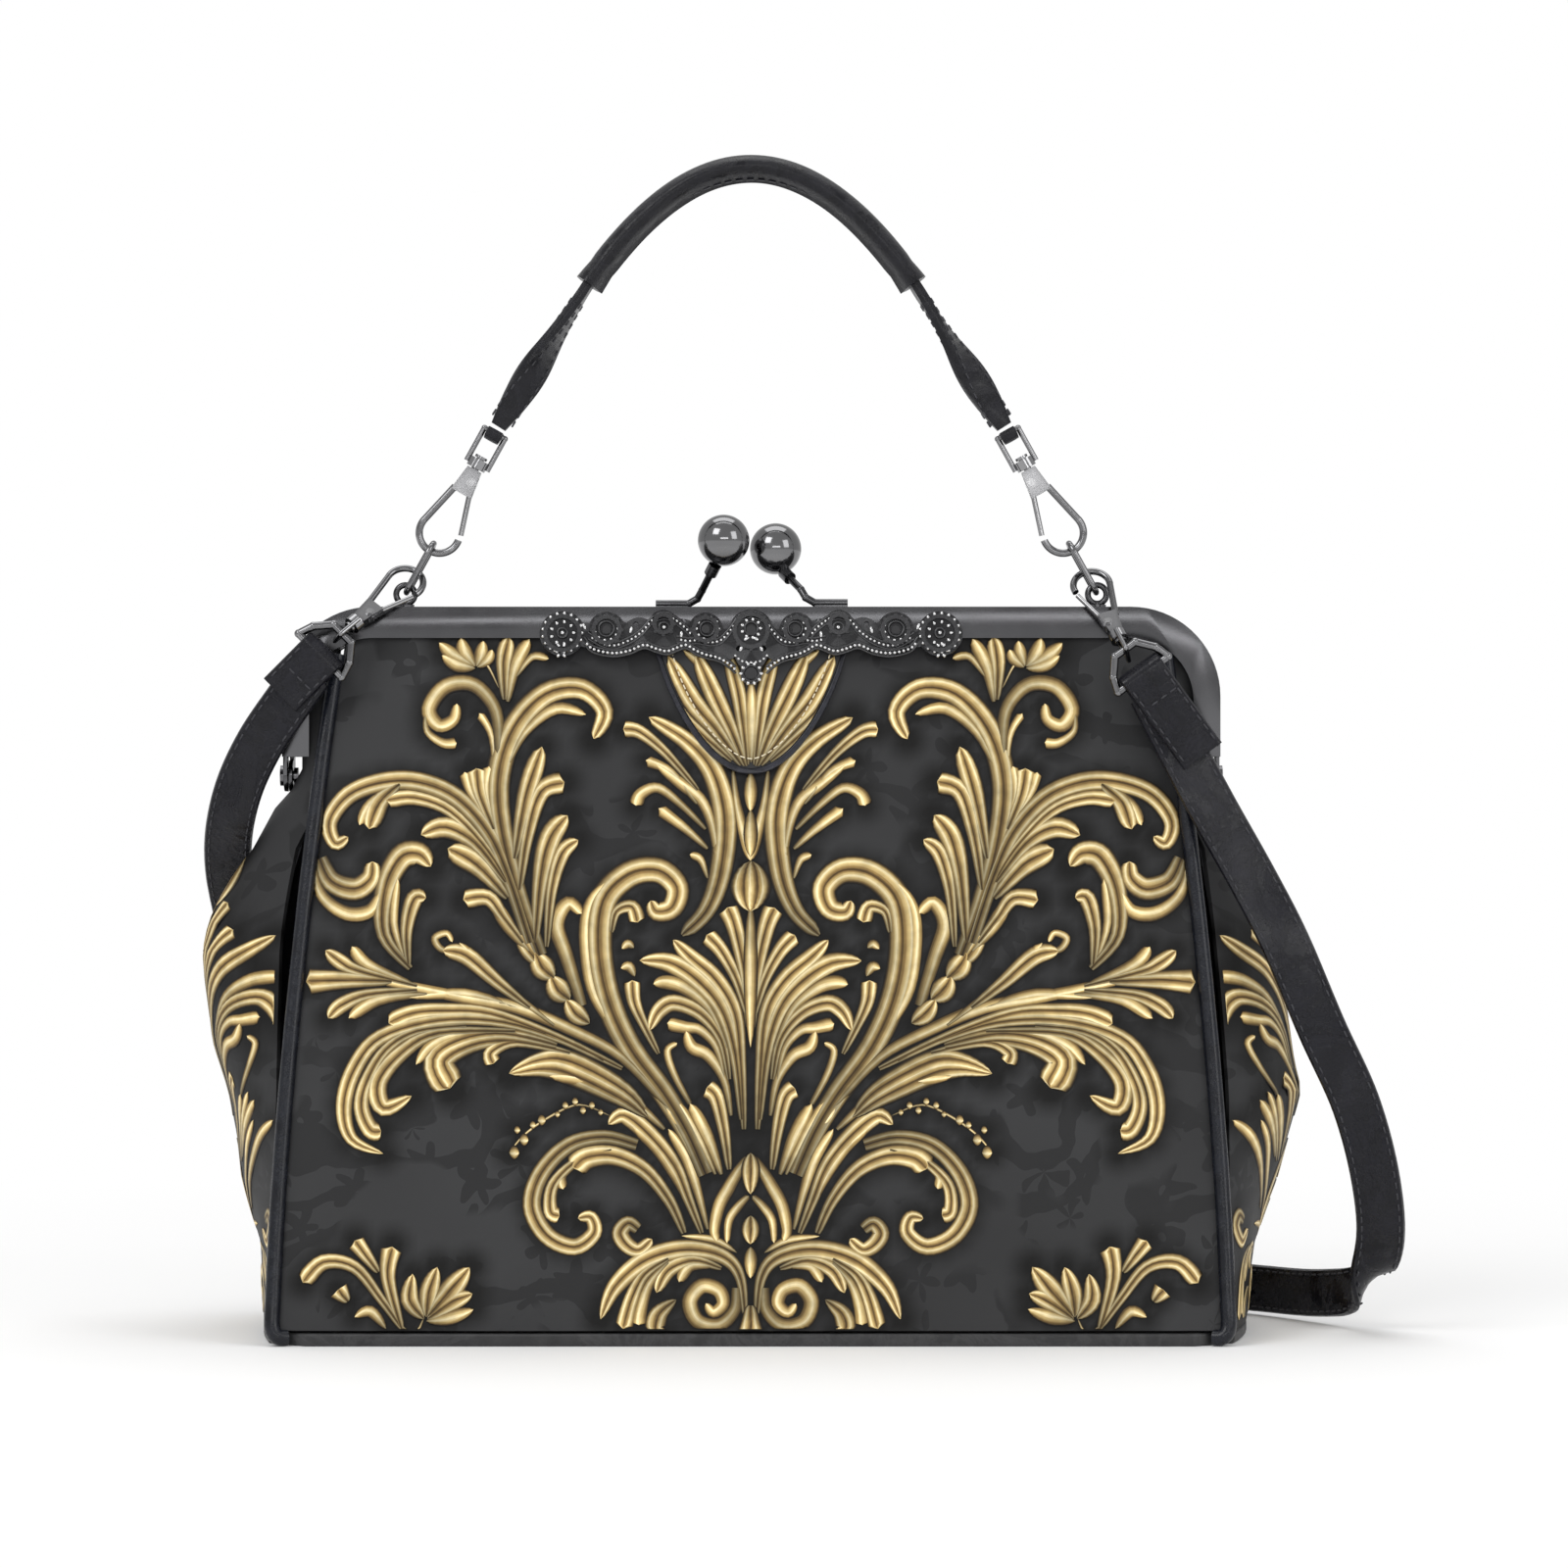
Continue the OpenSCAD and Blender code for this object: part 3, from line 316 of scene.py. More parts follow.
def printGroundMaterial():
    material, tree, shader = newMaterial("printed charcoal leather")
    where = places(tree, "UV")
    drift = node(tree, "TexNoise", {"Vector": where, "Scale": 60.0, "Detail": 2.0}).outputs[1]
    shift = node(tree, "VectorMath", {0: drift, "Scale": 0.012}, operation="SCALE").outputs[0]
    bent = node(tree, "VectorMath", {0: where, 1: shift}, operation="ADD").outputs[0]
    flowers = node(tree, "TexVoronoi", {"Vector": bent, "Scale": 62.0, "Randomness": 0.8})
    away = node(tree, "VectorMath", {0: bent, 1: flowers.outputs["Position"]},
                operation="SUBTRACT").outputs[0]
    spread = node(tree, "SeparateXYZ", {"Vector": away})
    angle = calc(tree, "ARCTAN2", spread.outputs[1], spread.outputs[0])
    petals = calc(tree, "COSINE", calc(tree, "MULTIPLY", angle, 5.0))
    reach = calc(tree, "MULTIPLY_ADD", petals, 0.11, 0.34)
    petal = calc(tree, "LESS_THAN", flowers.outputs["Distance"], reach)
    hollow = calc(tree, "GREATER_THAN", flowers.outputs["Distance"], 0.09)
    flower = calc(tree, "MULTIPLY", petal, hollow)
    swirl = node(tree, "TexWave", {"Vector": bent, "Scale": 16.0, "Distortion": 11.0, "Detail": 1.0,
                                   "Detail Scale": 1.6}, wave_type="RINGS").outputs[1]
    leafy = ramp(tree, swirl, [(0.70, 0.0), (0.74, 1.0)])
    patches = node(tree, "TexNoise", {"Vector": where, "Scale": 26.0, "Detail": 2.0}).outputs[0]
    patchy = ramp(tree, patches, [(0.47, 0.0), (0.50, 1.0)])
    motif = calc(tree, "MULTIPLY", calc(tree, "MAXIMUM", flower, leafy), patchy)
    clouds = node(tree, "TexNoise", {"Vector": where, "Scale": 12.0, "Detail": 2.0}).outputs[0]
    ground = mixed(tree, ramp(tree, clouds, [(0.35, 0.0), (0.65, 1.0)]), (0.027, 0.027, 0.0282),
                   (0.038, 0.0384, 0.04))
    tone = mixed(tree, calc(tree, "MULTIPLY", motif, 0.8), ground, (0.0165, 0.0165, 0.0174))
    halo = node(tree, "Attribute", attribute_name="halo").outputs["Fac"]
    tone = mixed(tree, halo, tone, (0.0035, 0.0033, 0.0031))
    tree.links.new(tone, shader.inputs["Base Color"])
    grain = node(tree, "TexVoronoi", {"Vector": where, "Scale": 1500.0},
                 feature="DISTANCE_TO_EDGE").outputs[0]
    soft = node(tree, "TexNoise", {"Vector": where, "Scale": 120.0, "Detail": 5.0}).outputs[0]
    shader.inputs["Roughness"].default_value = 0.52
    shader.inputs["Specular IOR Level"].default_value = 0.22
    first = bumped(tree, shader, grain, 0.25, 0.00005)
    bumped(tree, shader, soft, 0.3, 0.0002, first)
    return material


def goldPrintMaterial():
    material, tree, shader = newMaterial("antique gold print")
    axes = node(tree, "SeparateXYZ", {"Vector": node(tree, "UVMap", uv_map="UVMap").outputs[0]})
    along, across = axes.outputs[0], axes.outputs[1]
    strands = node(tree, "SeparateXYZ", {"Vector": node(tree, "UVMap", uv_map="Strands").outputs[0]})
    hatch = node(tree, "TexNoise", {"Vector": places(tree, "UV", (3, 14, 1)), "Scale": 1.0,
                                    "Detail": 3.0}).outputs[0]
    shift = calc(tree, "MULTIPLY_ADD", hatch, 0.3, -0.15)
    strand = calc(tree, "FRACT", calc(tree, "ADD", strands.outputs[0], shift))
    tone = ramp(tree, strand, [
        (0.0, (0.055, 0.03, 0.009)), (0.07, (0.20, 0.12, 0.038)), (0.25, (0.50, 0.35, 0.125)),
        (0.42, (0.93, 0.80, 0.48)), (0.56, (0.68, 0.51, 0.22)), (0.80, (0.30, 0.19, 0.062)),
        (1.0, (0.055, 0.03, 0.009))])
    rim = ramp(tree, across, [(0.0, 0.05), (0.05, 0.2), (0.12, 0.85), (0.3, 1.1), (0.68, 1.0),
                              (0.88, 0.6), (0.95, 0.15), (1.0, 0.04)])
    tone = mixed(tree, 1.0, tone, rim, "MULTIPLY")
    tip = ramp(tree, along, [(0.0, 0.24), (0.3, 0.66), (0.6, 1.0), (0.9, 1.25)])
    tone = mixed(tree, 1.0, tone, tip, "MULTIPLY")
    wearAndSheen = node(tree, "TexNoise", {"Vector": places(tree), "Scale": 260.0, "Detail": 6.0}).outputs[0]
    tone = mixed(tree, 1.0, tone, ramp(tree, wearAndSheen, [(0.3, 0.78), (0.7, 1.12)]), "MULTIPLY")
    tree.links.new(tone, shader.inputs["Base Color"])
    shader.inputs["Roughness"].default_value = 0.5
    shader.inputs["Specular IOR Level"].default_value = 0.25
    bumped(tree, shader, wearAndSheen, 0.12, 0.00008)
    return material


def weaveMaterial(name, dark, light, scale):
    material, tree, shader = newMaterial(name)
    where = places(tree)
    first = node(tree, "TexWave", {"Vector": where, "Scale": scale, "Distortion": 0.4}).outputs[1]
    second = node(tree, "TexWave", {"Vector": where, "Scale": scale, "Distortion": 0.4},
                  bands_direction="Z").outputs[1]
    cross = calc(tree, "MAXIMUM", first, second)
    tree.links.new(mixed(tree, cross, dark, light), shader.inputs["Base Color"])
    shader.inputs["Roughness"].default_value = 0.8
    shader.inputs["Sheen Weight"].default_value = 0.3
    bumped(tree, shader, cross, 0.4, 0.0001)
    return material


def plainMaterial(name, dark, light, rough, scale=300.0, coat=0.0):
    material, tree, shader = newMaterial(name)
    cloudy = node(tree, "TexNoise", {"Vector": places(tree), "Scale": scale, "Detail": 5.0}).outputs[0]
    tree.links.new(mixed(tree, cloudy, dark, light), shader.inputs["Base Color"])
    shader.inputs["Roughness"].default_value = rough
    shader.inputs["Coat Weight"].default_value = coat
    bumped(tree, shader, cloudy, 0.2, 0.0001)
    return material


def bothSides(*names):
    return [side + "_" + name for name in names for side in ("left", "right")]


# Plates: dark and light tone, roughness, brush marks
gunmetal = metalMaterial("gunmetal plate", (0.055, 0.055, 0.058), (0.095, 0.095, 0.099), 0.18, 0.10)
darkChrome = metalMaterial("dark polished plate", (0.13, 0.13, 0.135), (0.21, 0.21, 0.215), 0.13, 0.04)
brightPlate = metalMaterial("bright gate plate", (0.20, 0.20, 0.205), (0.32, 0.32, 0.325), 0.14, 0.05)
ballPlate = metalMaterial("polished ball plate", (0.15, 0.15, 0.153), (0.20, 0.20, 0.205), 0.10, 0.02)
castPlate = metalMaterial("cast ornament plate", (0.02, 0.02, 0.021), (0.06, 0.06, 0.062), 0.24, 0.25)
# The beads are the same blackened metal as the casting; their lighter tone is a painted glint
beadGlintPlate = metalMaterial("painted glint bead plate", (0.30, 0.30, 0.305), (0.5, 0.5, 0.505), 0.16, 0.05)

# Leathers: dark and light tone, roughness, pores to a metre, depth of the creases, finish coat
pipingLeather = leatherMaterial("piping leather", (0.003, 0.0035, 0.006), (0.008, 0.0095, 0.015),
                                0.22, 900.0, 0.2, 0.25)
strapLeather = leatherMaterial("crinkled strap leather", (0.0028, 0.0028, 0.0045), (0.008, 0.008, 0.013),
                               0.24, 700.0, 0.8, 0.12)
handleLeather = leatherMaterial("grained handle leather", (0.003, 0.003, 0.0045), (0.009, 0.009, 0.013),
                                0.28, 800.0, 0.5, 0.1)
edgeLeather = leatherMaterial("base leather", (0.03, 0.03, 0.031), (0.05, 0.05, 0.051),
                              0.5, 900.0, 0.2, 0.1)
flapEdge = leatherMaterial("flap binding", (0.008, 0.008, 0.011), (0.020, 0.021, 0.03),
                           0.3, 900.0, 0.2, 0.3)
printGround = printGroundMaterial()
goldPrint = goldPrintMaterial()
blackThread = plainMaterial("black waxed thread", (0.01, 0.01, 0.013), (0.04, 0.04, 0.05), 0.4, 2500.0)
goldThread = plainMaterial("gold thread", (0.7, 0.6, 0.4), (0.9, 0.82, 0.62), 0.5, 2500.0)
lining = weaveMaterial("lining weave", (0.014, 0.014, 0.017), (0.035, 0.035, 0.042), 900.0)
blackStone = plainMaterial("black stone", (0.004, 0.004, 0.005), (0.012, 0.012, 0.014), 0.05, 300.0, 1.0)
boardFibre = plainMaterial("grey board", (0.22, 0.18, 0.13), (0.38, 0.31, 0.23), 0.9)
feltFibre = plainMaterial("felt padding", (0.35, 0.33, 0.3), (0.55, 0.52, 0.48), 0.95, 900.0)

cadFinish = {
    gunmetal: ["front_frame", "rear_frame", "hinge_rivets", "front_ball_post", "rear_ball_post",
               "frame_eyes", "ornament_rivets"],
    darkChrome: bothSides("link", "handle_hook", "handle_swivel", "strap_hook", "strap_swivel",
                          "strap_ring"),
    brightPlate: bothSides("handle_gate", "strap_gate", "handle_gate_pin", "strap_gate_pin"),
    ballPlate: ["front_ball", "rear_ball"],
    castPlate: ["ornament"],
    blackStone: ["ornament_stones"],
    lining: ["lining_front", "lining_sides", "slip_pocket"],
    boardFibre: ["base_board", "front_channel_cord", "rear_channel_cord"],
    feltFibre: ["grip_padding"],
}
for material, names in cadFinish.items():
    for name in names:
        nodes[name].data.materials.clear()
        nodes[name].data.materials.append(material)


def softened(nodeName, material, width, body, segments):
    copy = nodes[nodeName].copy()
    copy.data = nodes[nodeName].data.copy()
    copy.parent = None
    for key in list(copy.keys()):
        del copy[key]
    copy.name = nodeName + "_softened"
    bpy.context.scene.collection.objects.link(copy)
    makeActive(copy)
    bpy.ops.object.mode_set(mode="EDIT")
    bpy.ops.mesh.select_all(action="SELECT")
    bpy.ops.mesh.remove_doubles(threshold=0.00001)
    bpy.ops.mesh.dissolve_limited(angle_limit=math.radians(1.0))
    bpy.ops.object.mode_set(mode="OBJECT")
    applied(copy, "BEVEL", width=width, segments=segments, limit_method="ANGLE",
            angle_limit=math.radians(38), harden_normals=False)
    return finished(copy, material, body, [nodeName], 35)


print("stage: metal")
softened("front_frame", gunmetal, 0.00045, "root", 3)
softened("rear_frame", gunmetal, 0.00045, "rear_frame", 3)

print("stage: ornament")

# The casting's own plane: X along the bag, then the height against its top, then the way out.
# Lists hold the right half, in millimetres: chains as points, blooms as place, radius and beads,
# cups as place and radius, drops as place and turn.
ornament = dict(
    at=(0, -0.00915, 0.2092), tilt=math.radians(9), face=1.4, pitch=1.25, bead=0.52, beadLift=0.25,
    ribbons=((0.95, 0.42), (-0.95, 0.36)), ribbonLift=0.05, cupWire=0.36, cupLift=0.5,
    chainSize=dict(wave=1.0, inner=0.85, arch=0.85, drop=0.85), dropSize=(0.55, 1.05), pearl=0.7,
    wave=[(48.2, -9.4), (46.6, -11.4), (43.8, -12.6), (39.4, -13.2), (35, -12.4), (31, -10.8),
          (27.7, -11.8), (24.4, -12.6), (21.5, -11.6), (18.9, -10.8), (16, -12.4), (13.2, -13.6),
          (9.4, -14.6), (6.4, -16.4), (4.4, -18.2)],
    inner=[(47.1, -8), (43.1, -10.3), (39.4, -10.9), (35, -9.3), (31.7, -7), (28.4, -3.4),
           (25.2, -2.2), (22.2, -3.3), (18.9, -5.9), (17.1, -8)],
    arch=[(21.5, -9), (18.3, -9.6), (15.3, -9.4), (11.7, -10), (8.7, -9.3), (5.9, -6.4), (3.6, -3.1),
          (0, -1.6)],
    drop=[(5.4, -13), (3.7, -14.8), (2.2, -15.7), (0, -16)],
    bloom=[(54.6, -7.2, 5.6, 17), (54.6, -7.2, 3.3, 9), (41.9, -6.0, 3.5, 11), (12.7, -6.0, 3.2, 10),
           (54.9, -12.4, 1.7, 6)],
    middleBloom=[(0, -5.9, 2.7, 9), (0, -19.2, 2.9, 10)],
    cups=[(41.9, -6.0, 2.2), (12.7, -6.0, 2.1), (54.6, -7.2, 1.4), (25.2, -5.6, 1.5)],
    middleCups=[(0, -5.9, 1.9), (0, -19.2, 2.2)],
    drops=[(2.9, -11.8, 25), (1.4, -9.0, 60), (34.8, -6.4, 20), (48.3, -5.4, -30), (20.2, -7.6, 0)],
    pearls=[(54.6, -7.2), (25.2, -5.6)],
)


def onOrnament(x, high, out):
    lean = ornament["tilt"]
    out += ornament["face"]
    return Vector(ornament["at"]) + mm * Vector((x, high * math.sin(lean) - out * math.cos(lean),
                                                 high * math.cos(lean) + out * math.sin(lean)))


def onBothSides(places):
    return [(side * place[0], *place[1:]) for side in (1, -1) for place in places]


def beadShape():
    bpy.ops.mesh.primitive_ico_sphere_add(subdivisions=2, radius=1)
    shape = bpy.context.object
    verts = [v.co.copy() for v in shape.data.vertices]
    faces = [tuple(f.vertices) for f in shape.data.polygons]
    bpy.data.objects.remove(shape)
    return verts, faces


def beaded(name, beads):
    shapeVerts, shapeFaces = beadShape()
    verts, faces = [], []
    for x, high, wide, tall, turn in beads:
        start = len(verts)
        c, d = math.cos(turn), math.sin(turn)
        for v in shapeVerts:
            a, b = v.x * wide, v.y * tall
            verts.append(onOrnament(x + a * c - b * d, high + a * d + b * c,
                                    ornament["beadLift"] + v.z * wide))
        faces += [tuple(start + i for i in face) for face in shapeFaces]
    return finished(outwards(pieceFrom(name, verts, faces)), beadGlintPlate, "root", smooth=80)


def ornamentWork():
    beads, ribbons = [], []
    size = ornament["bead"]
    for key, part in ornament["chainSize"].items():
        for side in (1, -1):
            line = curved([Vector((side * x, high, 0)) for x, high in ornament[key]], 24)
            travelled = 0.0
            for p, q in zip(line, line[1:]):
                travelled += (q - p).length
                if travelled >= ornament["pitch"]:
                    travelled = 0.0
                    beads.append((q.x, q.y, size * part, size * part, 0))
            for shift, thick in ornament["ribbons"] if key != "drop" else ():
                path = [onOrnament(p.x, p.y + shift, ornament["ribbonLift"]) for p in line[::4]]
                ribbons.append(tube("ribbon", path, thick * mm, 8))
    for x, high, radius, count in ornament["middleBloom"] + onBothSides(ornament["bloom"]):
        for k in range(count):
            a = 2 * math.pi * k / count
            beads.append((x + radius * math.cos(a), high + radius * math.sin(a), size, size * 1.35,
                          a - math.pi / 2))
    for x, high, turn in onBothSides(ornament["drops"]):
        beads.append((x, high, *ornament["dropSize"], math.radians(turn if x > 0 else -turn)))
    for x, high in onBothSides(ornament["pearls"]):
        beads.append((x, high, ornament["pearl"], ornament["pearl"], 0))
    beaded("ornament_beads", beads)
    for x, high, radius in ornament["middleCups"] + onBothSides(ornament["cups"]):
        turns = [math.pi * k / 12 for k in range(25)]
        ring = [onOrnament(x + radius * math.cos(a), high + radius * math.sin(a), ornament["cupLift"])
                for a in turns]
        ribbons.append(tube("cup", ring, ornament["cupWire"] * mm, 8))
    finished(joined("ornament_ribbons", ribbons), castPlate, "root", smooth=60)


ornamentWork()

print("stage: soft body")


def seamX(z):
    share = (max(z, 0) / bag["seamTop"]) ** 1.7
    return bag["seamTopHalf"] + (bag["baseHalf"] - bag["seamTopHalf"]) * (1 - share)


def seamY(z):
    return bag["baseDepth"] - z * (bag["baseDepth"] - bag["panelTopDepth"]) / bag["seamTop"]


# The damask on a grid of 0.28 mm, drawn for the right half: across from the middle, up from the base.
# Each stroke is its widest place, the way it ends, and the places that it runs through. A berry is
# its place and size.
damask = dict(
    unit=0.00028, unitFar=1.5, axis=34, eyeUp=566, steps=5, lift=0.00004, layer=0.0000012, fullness=1.5,
    strandWidth=13, ridge=0.00022, thinRidge=0.00001, sink=0.0002, haloReach=21, dotSlope=0.3,
    panelSpan=(0.005, 0.2015),
    profile=[(-1.0, 0.0), (-0.62, 0.7), (-0.2, 1.0), (0.25, 0.95), (0.68, 0.6), (1.0, 0.0)],
    middle=[
        (10, "leaf", [(0, 578), (0, 558), (0, 538)]), (10, "leaf", [(0, 540), (0, 515), (0, 492)]),
        (28, "leaf", [(0, 488), (0, 462), (0, 436)]), (10, "leaf", [(0, 446), (0, 380), (0, 298)]),
        (13, "leaf", [(0, 126), (0, 112), (0, 97)]), (10, "leaf", [(0, 94), (0, 80), (0, 62)]),
        (20, "round", [(0, 34), (0, 16), (0, 5)]), (13, "leaf", [(0, 190), (0, 172), (0, 148)]),
    ],
    palmette=[
        (9, "tip", [(18, 580), (14, 546), (6, 512), (0, 488)]),
        (16, "round", [(2, 318), (6, 372), (16, 420), (24, 440)]),
        (14, "round", [(3, 329), (14, 366), (30, 396), (45, 412)]),
        (15, "tip", [(7, 214), (10, 278), (16, 332), (35, 366), (62, 390), (79, 407)]),
        (17, "tip", [(9, 224), (16, 291), (30, 337), (54, 366), (83, 384), (113, 386)]),
        (12, "tip", [(24, 297), (43, 337), (67, 358), (86, 364), (99, 362)]),
        (14, "tip", [(22, 265), (30, 305), (51, 332), (78, 343), (94, 334), (103, 315)]),
        (11, "round", [(27, 265), (35, 297), (51, 315), (67, 318), (85, 322)]),
        (11, "tip", [(20, 228), (27, 264), (43, 289), (60, 298), (66, 314)]),
        (18, "even", [(70, 412), (46, 436), (32, 471), (26, 519), (30, 554), (43, 586), (68, 612),
            (104, 634)]),
        (10, "tip", [(35, 457), (36, 506), (48, 546), (72, 567), (97, 586)]),
        (13, "round", [(54, 560), (86, 597), (113, 619), (130, 622)]),
        (9, "round", [(55, 546), (81, 578), (107, 590)]),
        (11, "round", [(46, 520), (70, 544), (94, 562), (112, 556), (117, 544)]),
        (10, "round", [(44, 500), (66, 520), (94, 541)]), (7, "tip", [(44, 470), (51, 489), (62, 494)]),
    ],
    volute=[
        (20, "curl", [(46, 168), (65, 211), (89, 251), (123, 297), (145, 345), (155, 398), (150, 447),
            (124, 474), (94, 478), (75, 461), (80, 440), (96, 436), (102, 447)]),
        (10, "tip", [(51, 168), (78, 219), (110, 270), (140, 318), (162, 358), (169, 412), (163, 447),
            (142, 471)]),
        (13, "round", [(142, 415), (137, 436), (121, 441), (115, 425)]),
        (12, "curl", [(172, 340), (188, 391), (198, 423), (186, 445), (172, 434)]),
        (13, "round", [(94, 291), (110, 323), (119, 345), (121, 366)]),
        (7, "leaf", [(119, 399), (125, 403), (131, 398)]),
        (8, "leaf", [(118, 370), (124, 380), (132, 378)]),
        (6, "curl", [(62, 240), (78, 270), (85, 294), (75, 302)]),
        (15, "round", [(22, 173), (27, 211), (35, 246), (45, 256)]),
        (11, "tip", [(43, 173), (62, 205), (86, 235)]), (12, "tip", [(30, 168), (44, 205), (62, 240)]),
        (9, "tip", [(36, 168), (55, 208), (76, 243)]),
    ],
    foot=[
        (10, "even", [(2, 186), (12, 172), (22, 155), (32, 136), (37, 112), (34, 100)]),
        (7, "even", [(2, 146), (12, 136), (22, 121), (24, 98)]),
        (6, "leaf", [(14, 88), (37, 101), (70, 105)]),
        (17, "tip", [(6, 26), (10, 60), (22, 80), (47, 90), (78, 90), (111, 78), (139, 52), (153, 20)]),
        (14, "round", [(84, 82), (108, 66), (121, 42), (130, 10)]),
        (12, "round", [(84, 78), (103, 56), (112, 30), (114, 14)]),
        (13, "tip", [(30, 72), (58, 80), (84, 70), (96, 47)]), (10, "tip", [(40, 74), (62, 74), (73, 58)]),
        (12, "curl", [(14, 52), (16, 30), (32, 14), (54, 18), (62, 38), (50, 54), (33, 50), (28, 36),
            (38, 27), (46, 36)]),
        (15, "leaf", [(76, 40), (93, 26), (97, 10), (86, 4)]),
        (13, "curl", [(115, 112), (125, 118), (133, 108), (126, 96), (114, 91), (101, 102)]),
    ],
    side=[
        (15, "tip", [(50, 108), (63, 141), (78, 177), (103, 208), (129, 228), (145, 219)]),
        (19, "round", [(68, 108), (83, 141), (108, 172), (139, 187), (167, 185), (180, 174)]),
        (14, "curl", [(116, 198), (149, 206), (185, 198), (213, 170), (223, 136), (208, 106), (180, 94),
            (160, 108), (163, 124), (176, 123)]),
        (13, "round", [(142, 193), (175, 183), (201, 158), (204, 131), (195, 126)]),
        (9, "tip", [(183, 180), (193, 165), (191, 153)]),
        (11, "tip", [(56, 120), (72, 158), (96, 196), (120, 216)]),
        (10, "tip", [(44, 112), (54, 150), (66, 186), (84, 214)]),
        (2, "even", [(144, 228), (175, 239), (206, 226), (231, 208), (246, 190)]),
    ],
    drooping=[
        (10, "even", [(84, 236), (131, 287), (184, 316), (238, 338), (292, 348), (345, 359), (385, 367)]),
        (19, "round", [(366, 365), (417, 366), (454, 364)]),
        (13, "tip", [(340, 360), (399, 375), (418, 384), (434, 396)]),
        (11, "tip", [(345, 362), (391, 382), (407, 400)]),
        (13, "tip", [(340, 356), (391, 351), (418, 340), (431, 327)]),
        (11, "tip", [(330, 352), (380, 346), (410, 327)]),
        (15, "round", [(131, 276), (198, 308), (265, 332), (313, 335), (345, 332), (369, 322)]),
        (9, "leaf", [(238, 338), (292, 352), (348, 348)]),
        (14, "tip", [(150, 284), (184, 302), (251, 323), (318, 325), (377, 308), (404, 276), (415, 238),
            (407, 204), (375, 189)]),
        (15, "round", [(290, 320), (340, 314), (372, 295), (392, 262), (397, 236), (388, 214), (377, 212)]),
        (16, "tip", [(240, 314), (318, 312), (356, 292), (380, 262), (374, 236), (346, 248)]),
        (11, "tip", [(200, 302), (238, 311), (292, 312), (324, 300), (341, 280)]),
        (26, "round", [(198, 298), (251, 308), (292, 302), (318, 284), (306, 256)]),
        (13, "round", [(184, 292), (238, 303), (264, 293), (262, 281)]),
        (24, "leaf", [(104, 226), (131, 250), (184, 277), (214, 280), (246, 271)]),
        (12, "tip", [(88, 214), (118, 240), (160, 262), (205, 268)]),
        (15, "tip", [(225, 338), (258, 364), (290, 391), (314, 396)]),
        (6, "curl", [(300, 394), (316, 398), (322, 409), (310, 414), (304, 405)]),
        (10, "tip", [(200, 320), (263, 368), (297, 404)]),
    ],
    plume=[
        (15, "leaf", [(164, 322), (178, 332), (188, 346)]),
        (18, "leaf", [(184, 346), (196, 356), (204, 370)]),
        (18, "leaf", [(200, 368), (212, 379), (220, 394)]),
        (13, "even", [(216, 384), (226, 396), (236, 412)]),
        (18, "curl", [(215, 391), (239, 458), (255, 525), (257, 576), (241, 624), (209, 658), (172, 663),
            (149, 640), (160, 612)]),
        (10, "tip", [(252, 576), (231, 618), (199, 643), (168, 637)]),
        (12, "curl", [(257, 597), (260, 640), (282, 667), (311, 666), (328, 643), (318, 626), (303, 632),
            (300, 648)]),
        (9, "round", [(331, 640), (330, 620), (314, 608), (300, 608)]),
        (7, "round", [(261, 560), (264, 613), (277, 638)]),
        (16, "tip", [(241, 490), (229, 554), (213, 604)]),
        (17, "round", [(236, 458), (228, 512), (214, 558), (190, 568)]),
        (18, "tip", [(220, 404), (214, 471), (204, 512), (187, 534)]),
        (13, "tip", [(208, 400), (203, 458), (192, 496), (176, 509)]),
        (16, "round", [(262, 520), (276, 555), (280, 582)]),
        (9, "round", [(262, 524), (270, 560), (267, 584)]),
        (9, "round", [(264, 522), (285, 556), (292, 578)]),
        (17, "tip", [(250, 466), (281, 506), (311, 522), (336, 514)]),
        (19, "tip", [(248, 450), (279, 484), (309, 500)]),
        (15, "round", [(232, 404), (252, 430), (268, 450), (293, 448)]),
        (12, "tip", [(226, 396), (246, 420), (262, 446)]),
        (15, "curl", [(225, 404), (247, 471), (268, 517), (300, 552), (338, 568), (375, 568), (410, 555),
            (430, 528), (424, 506), (411, 512)]),
        (13, "round", [(241, 453), (268, 498), (306, 538), (343, 552), (372, 549)]),
        (17, "tip", [(358, 566), (379, 547), (389, 520)]), (9, "tip", [(362, 566), (388, 546), (399, 524)]),
        (12, "tip", [(446, 505), (447, 478), (436, 450), (412, 434), (388, 437), (377, 458)]),
        (17, "curl", [(440, 490), (428, 467), (404, 459), (388, 470), (386, 487)]),
        (20, "tip", [(347, 378), (374, 412), (373, 458), (357, 491), (338, 495), (326, 482)]),
        (14, "tip", [(349, 380), (351, 418), (343, 449), (331, 450)]),
        (8, "tip", [(352, 384), (364, 425), (360, 470)]),
        (11, "leaf", [(281, 684), (300, 688), (315, 697)]),
        (11, "leaf", [(281, 686), (304, 698), (318, 710)]),
        (12, "leaf", [(281, 686), (292, 700), (296, 715)]),
        (10, "leaf", [(280, 686), (275, 700), (273, 712)]),
        (9, "leaf", [(279, 685), (268, 694), (264, 703)]),
        (12, "tip", [(248, 650), (241, 686), (226, 714)]),
        (14, "tip", [(251, 652), (252, 690), (247, 716)]), (7, "tip", [(239, 676), (223, 696), (206, 694)]),
        (2, "even", [(257, 664), (268, 686), (276, 690)]),
    ],
    sprig=[
        (14, "leaf", [(333, 20), (348, 40), (345, 66)]), (15, "leaf", [(331, 22), (328, 48), (320, 73)]),
        (17, "leaf", [(330, 22), (306, 50), (287, 73)]), (14, "leaf", [(330, 20), (304, 38), (284, 46)]),
        (11, "leaf", [(331, 18), (306, 22), (283, 30)]), (2, "even", [(334, 20), (340, 6), (342, 3)]),
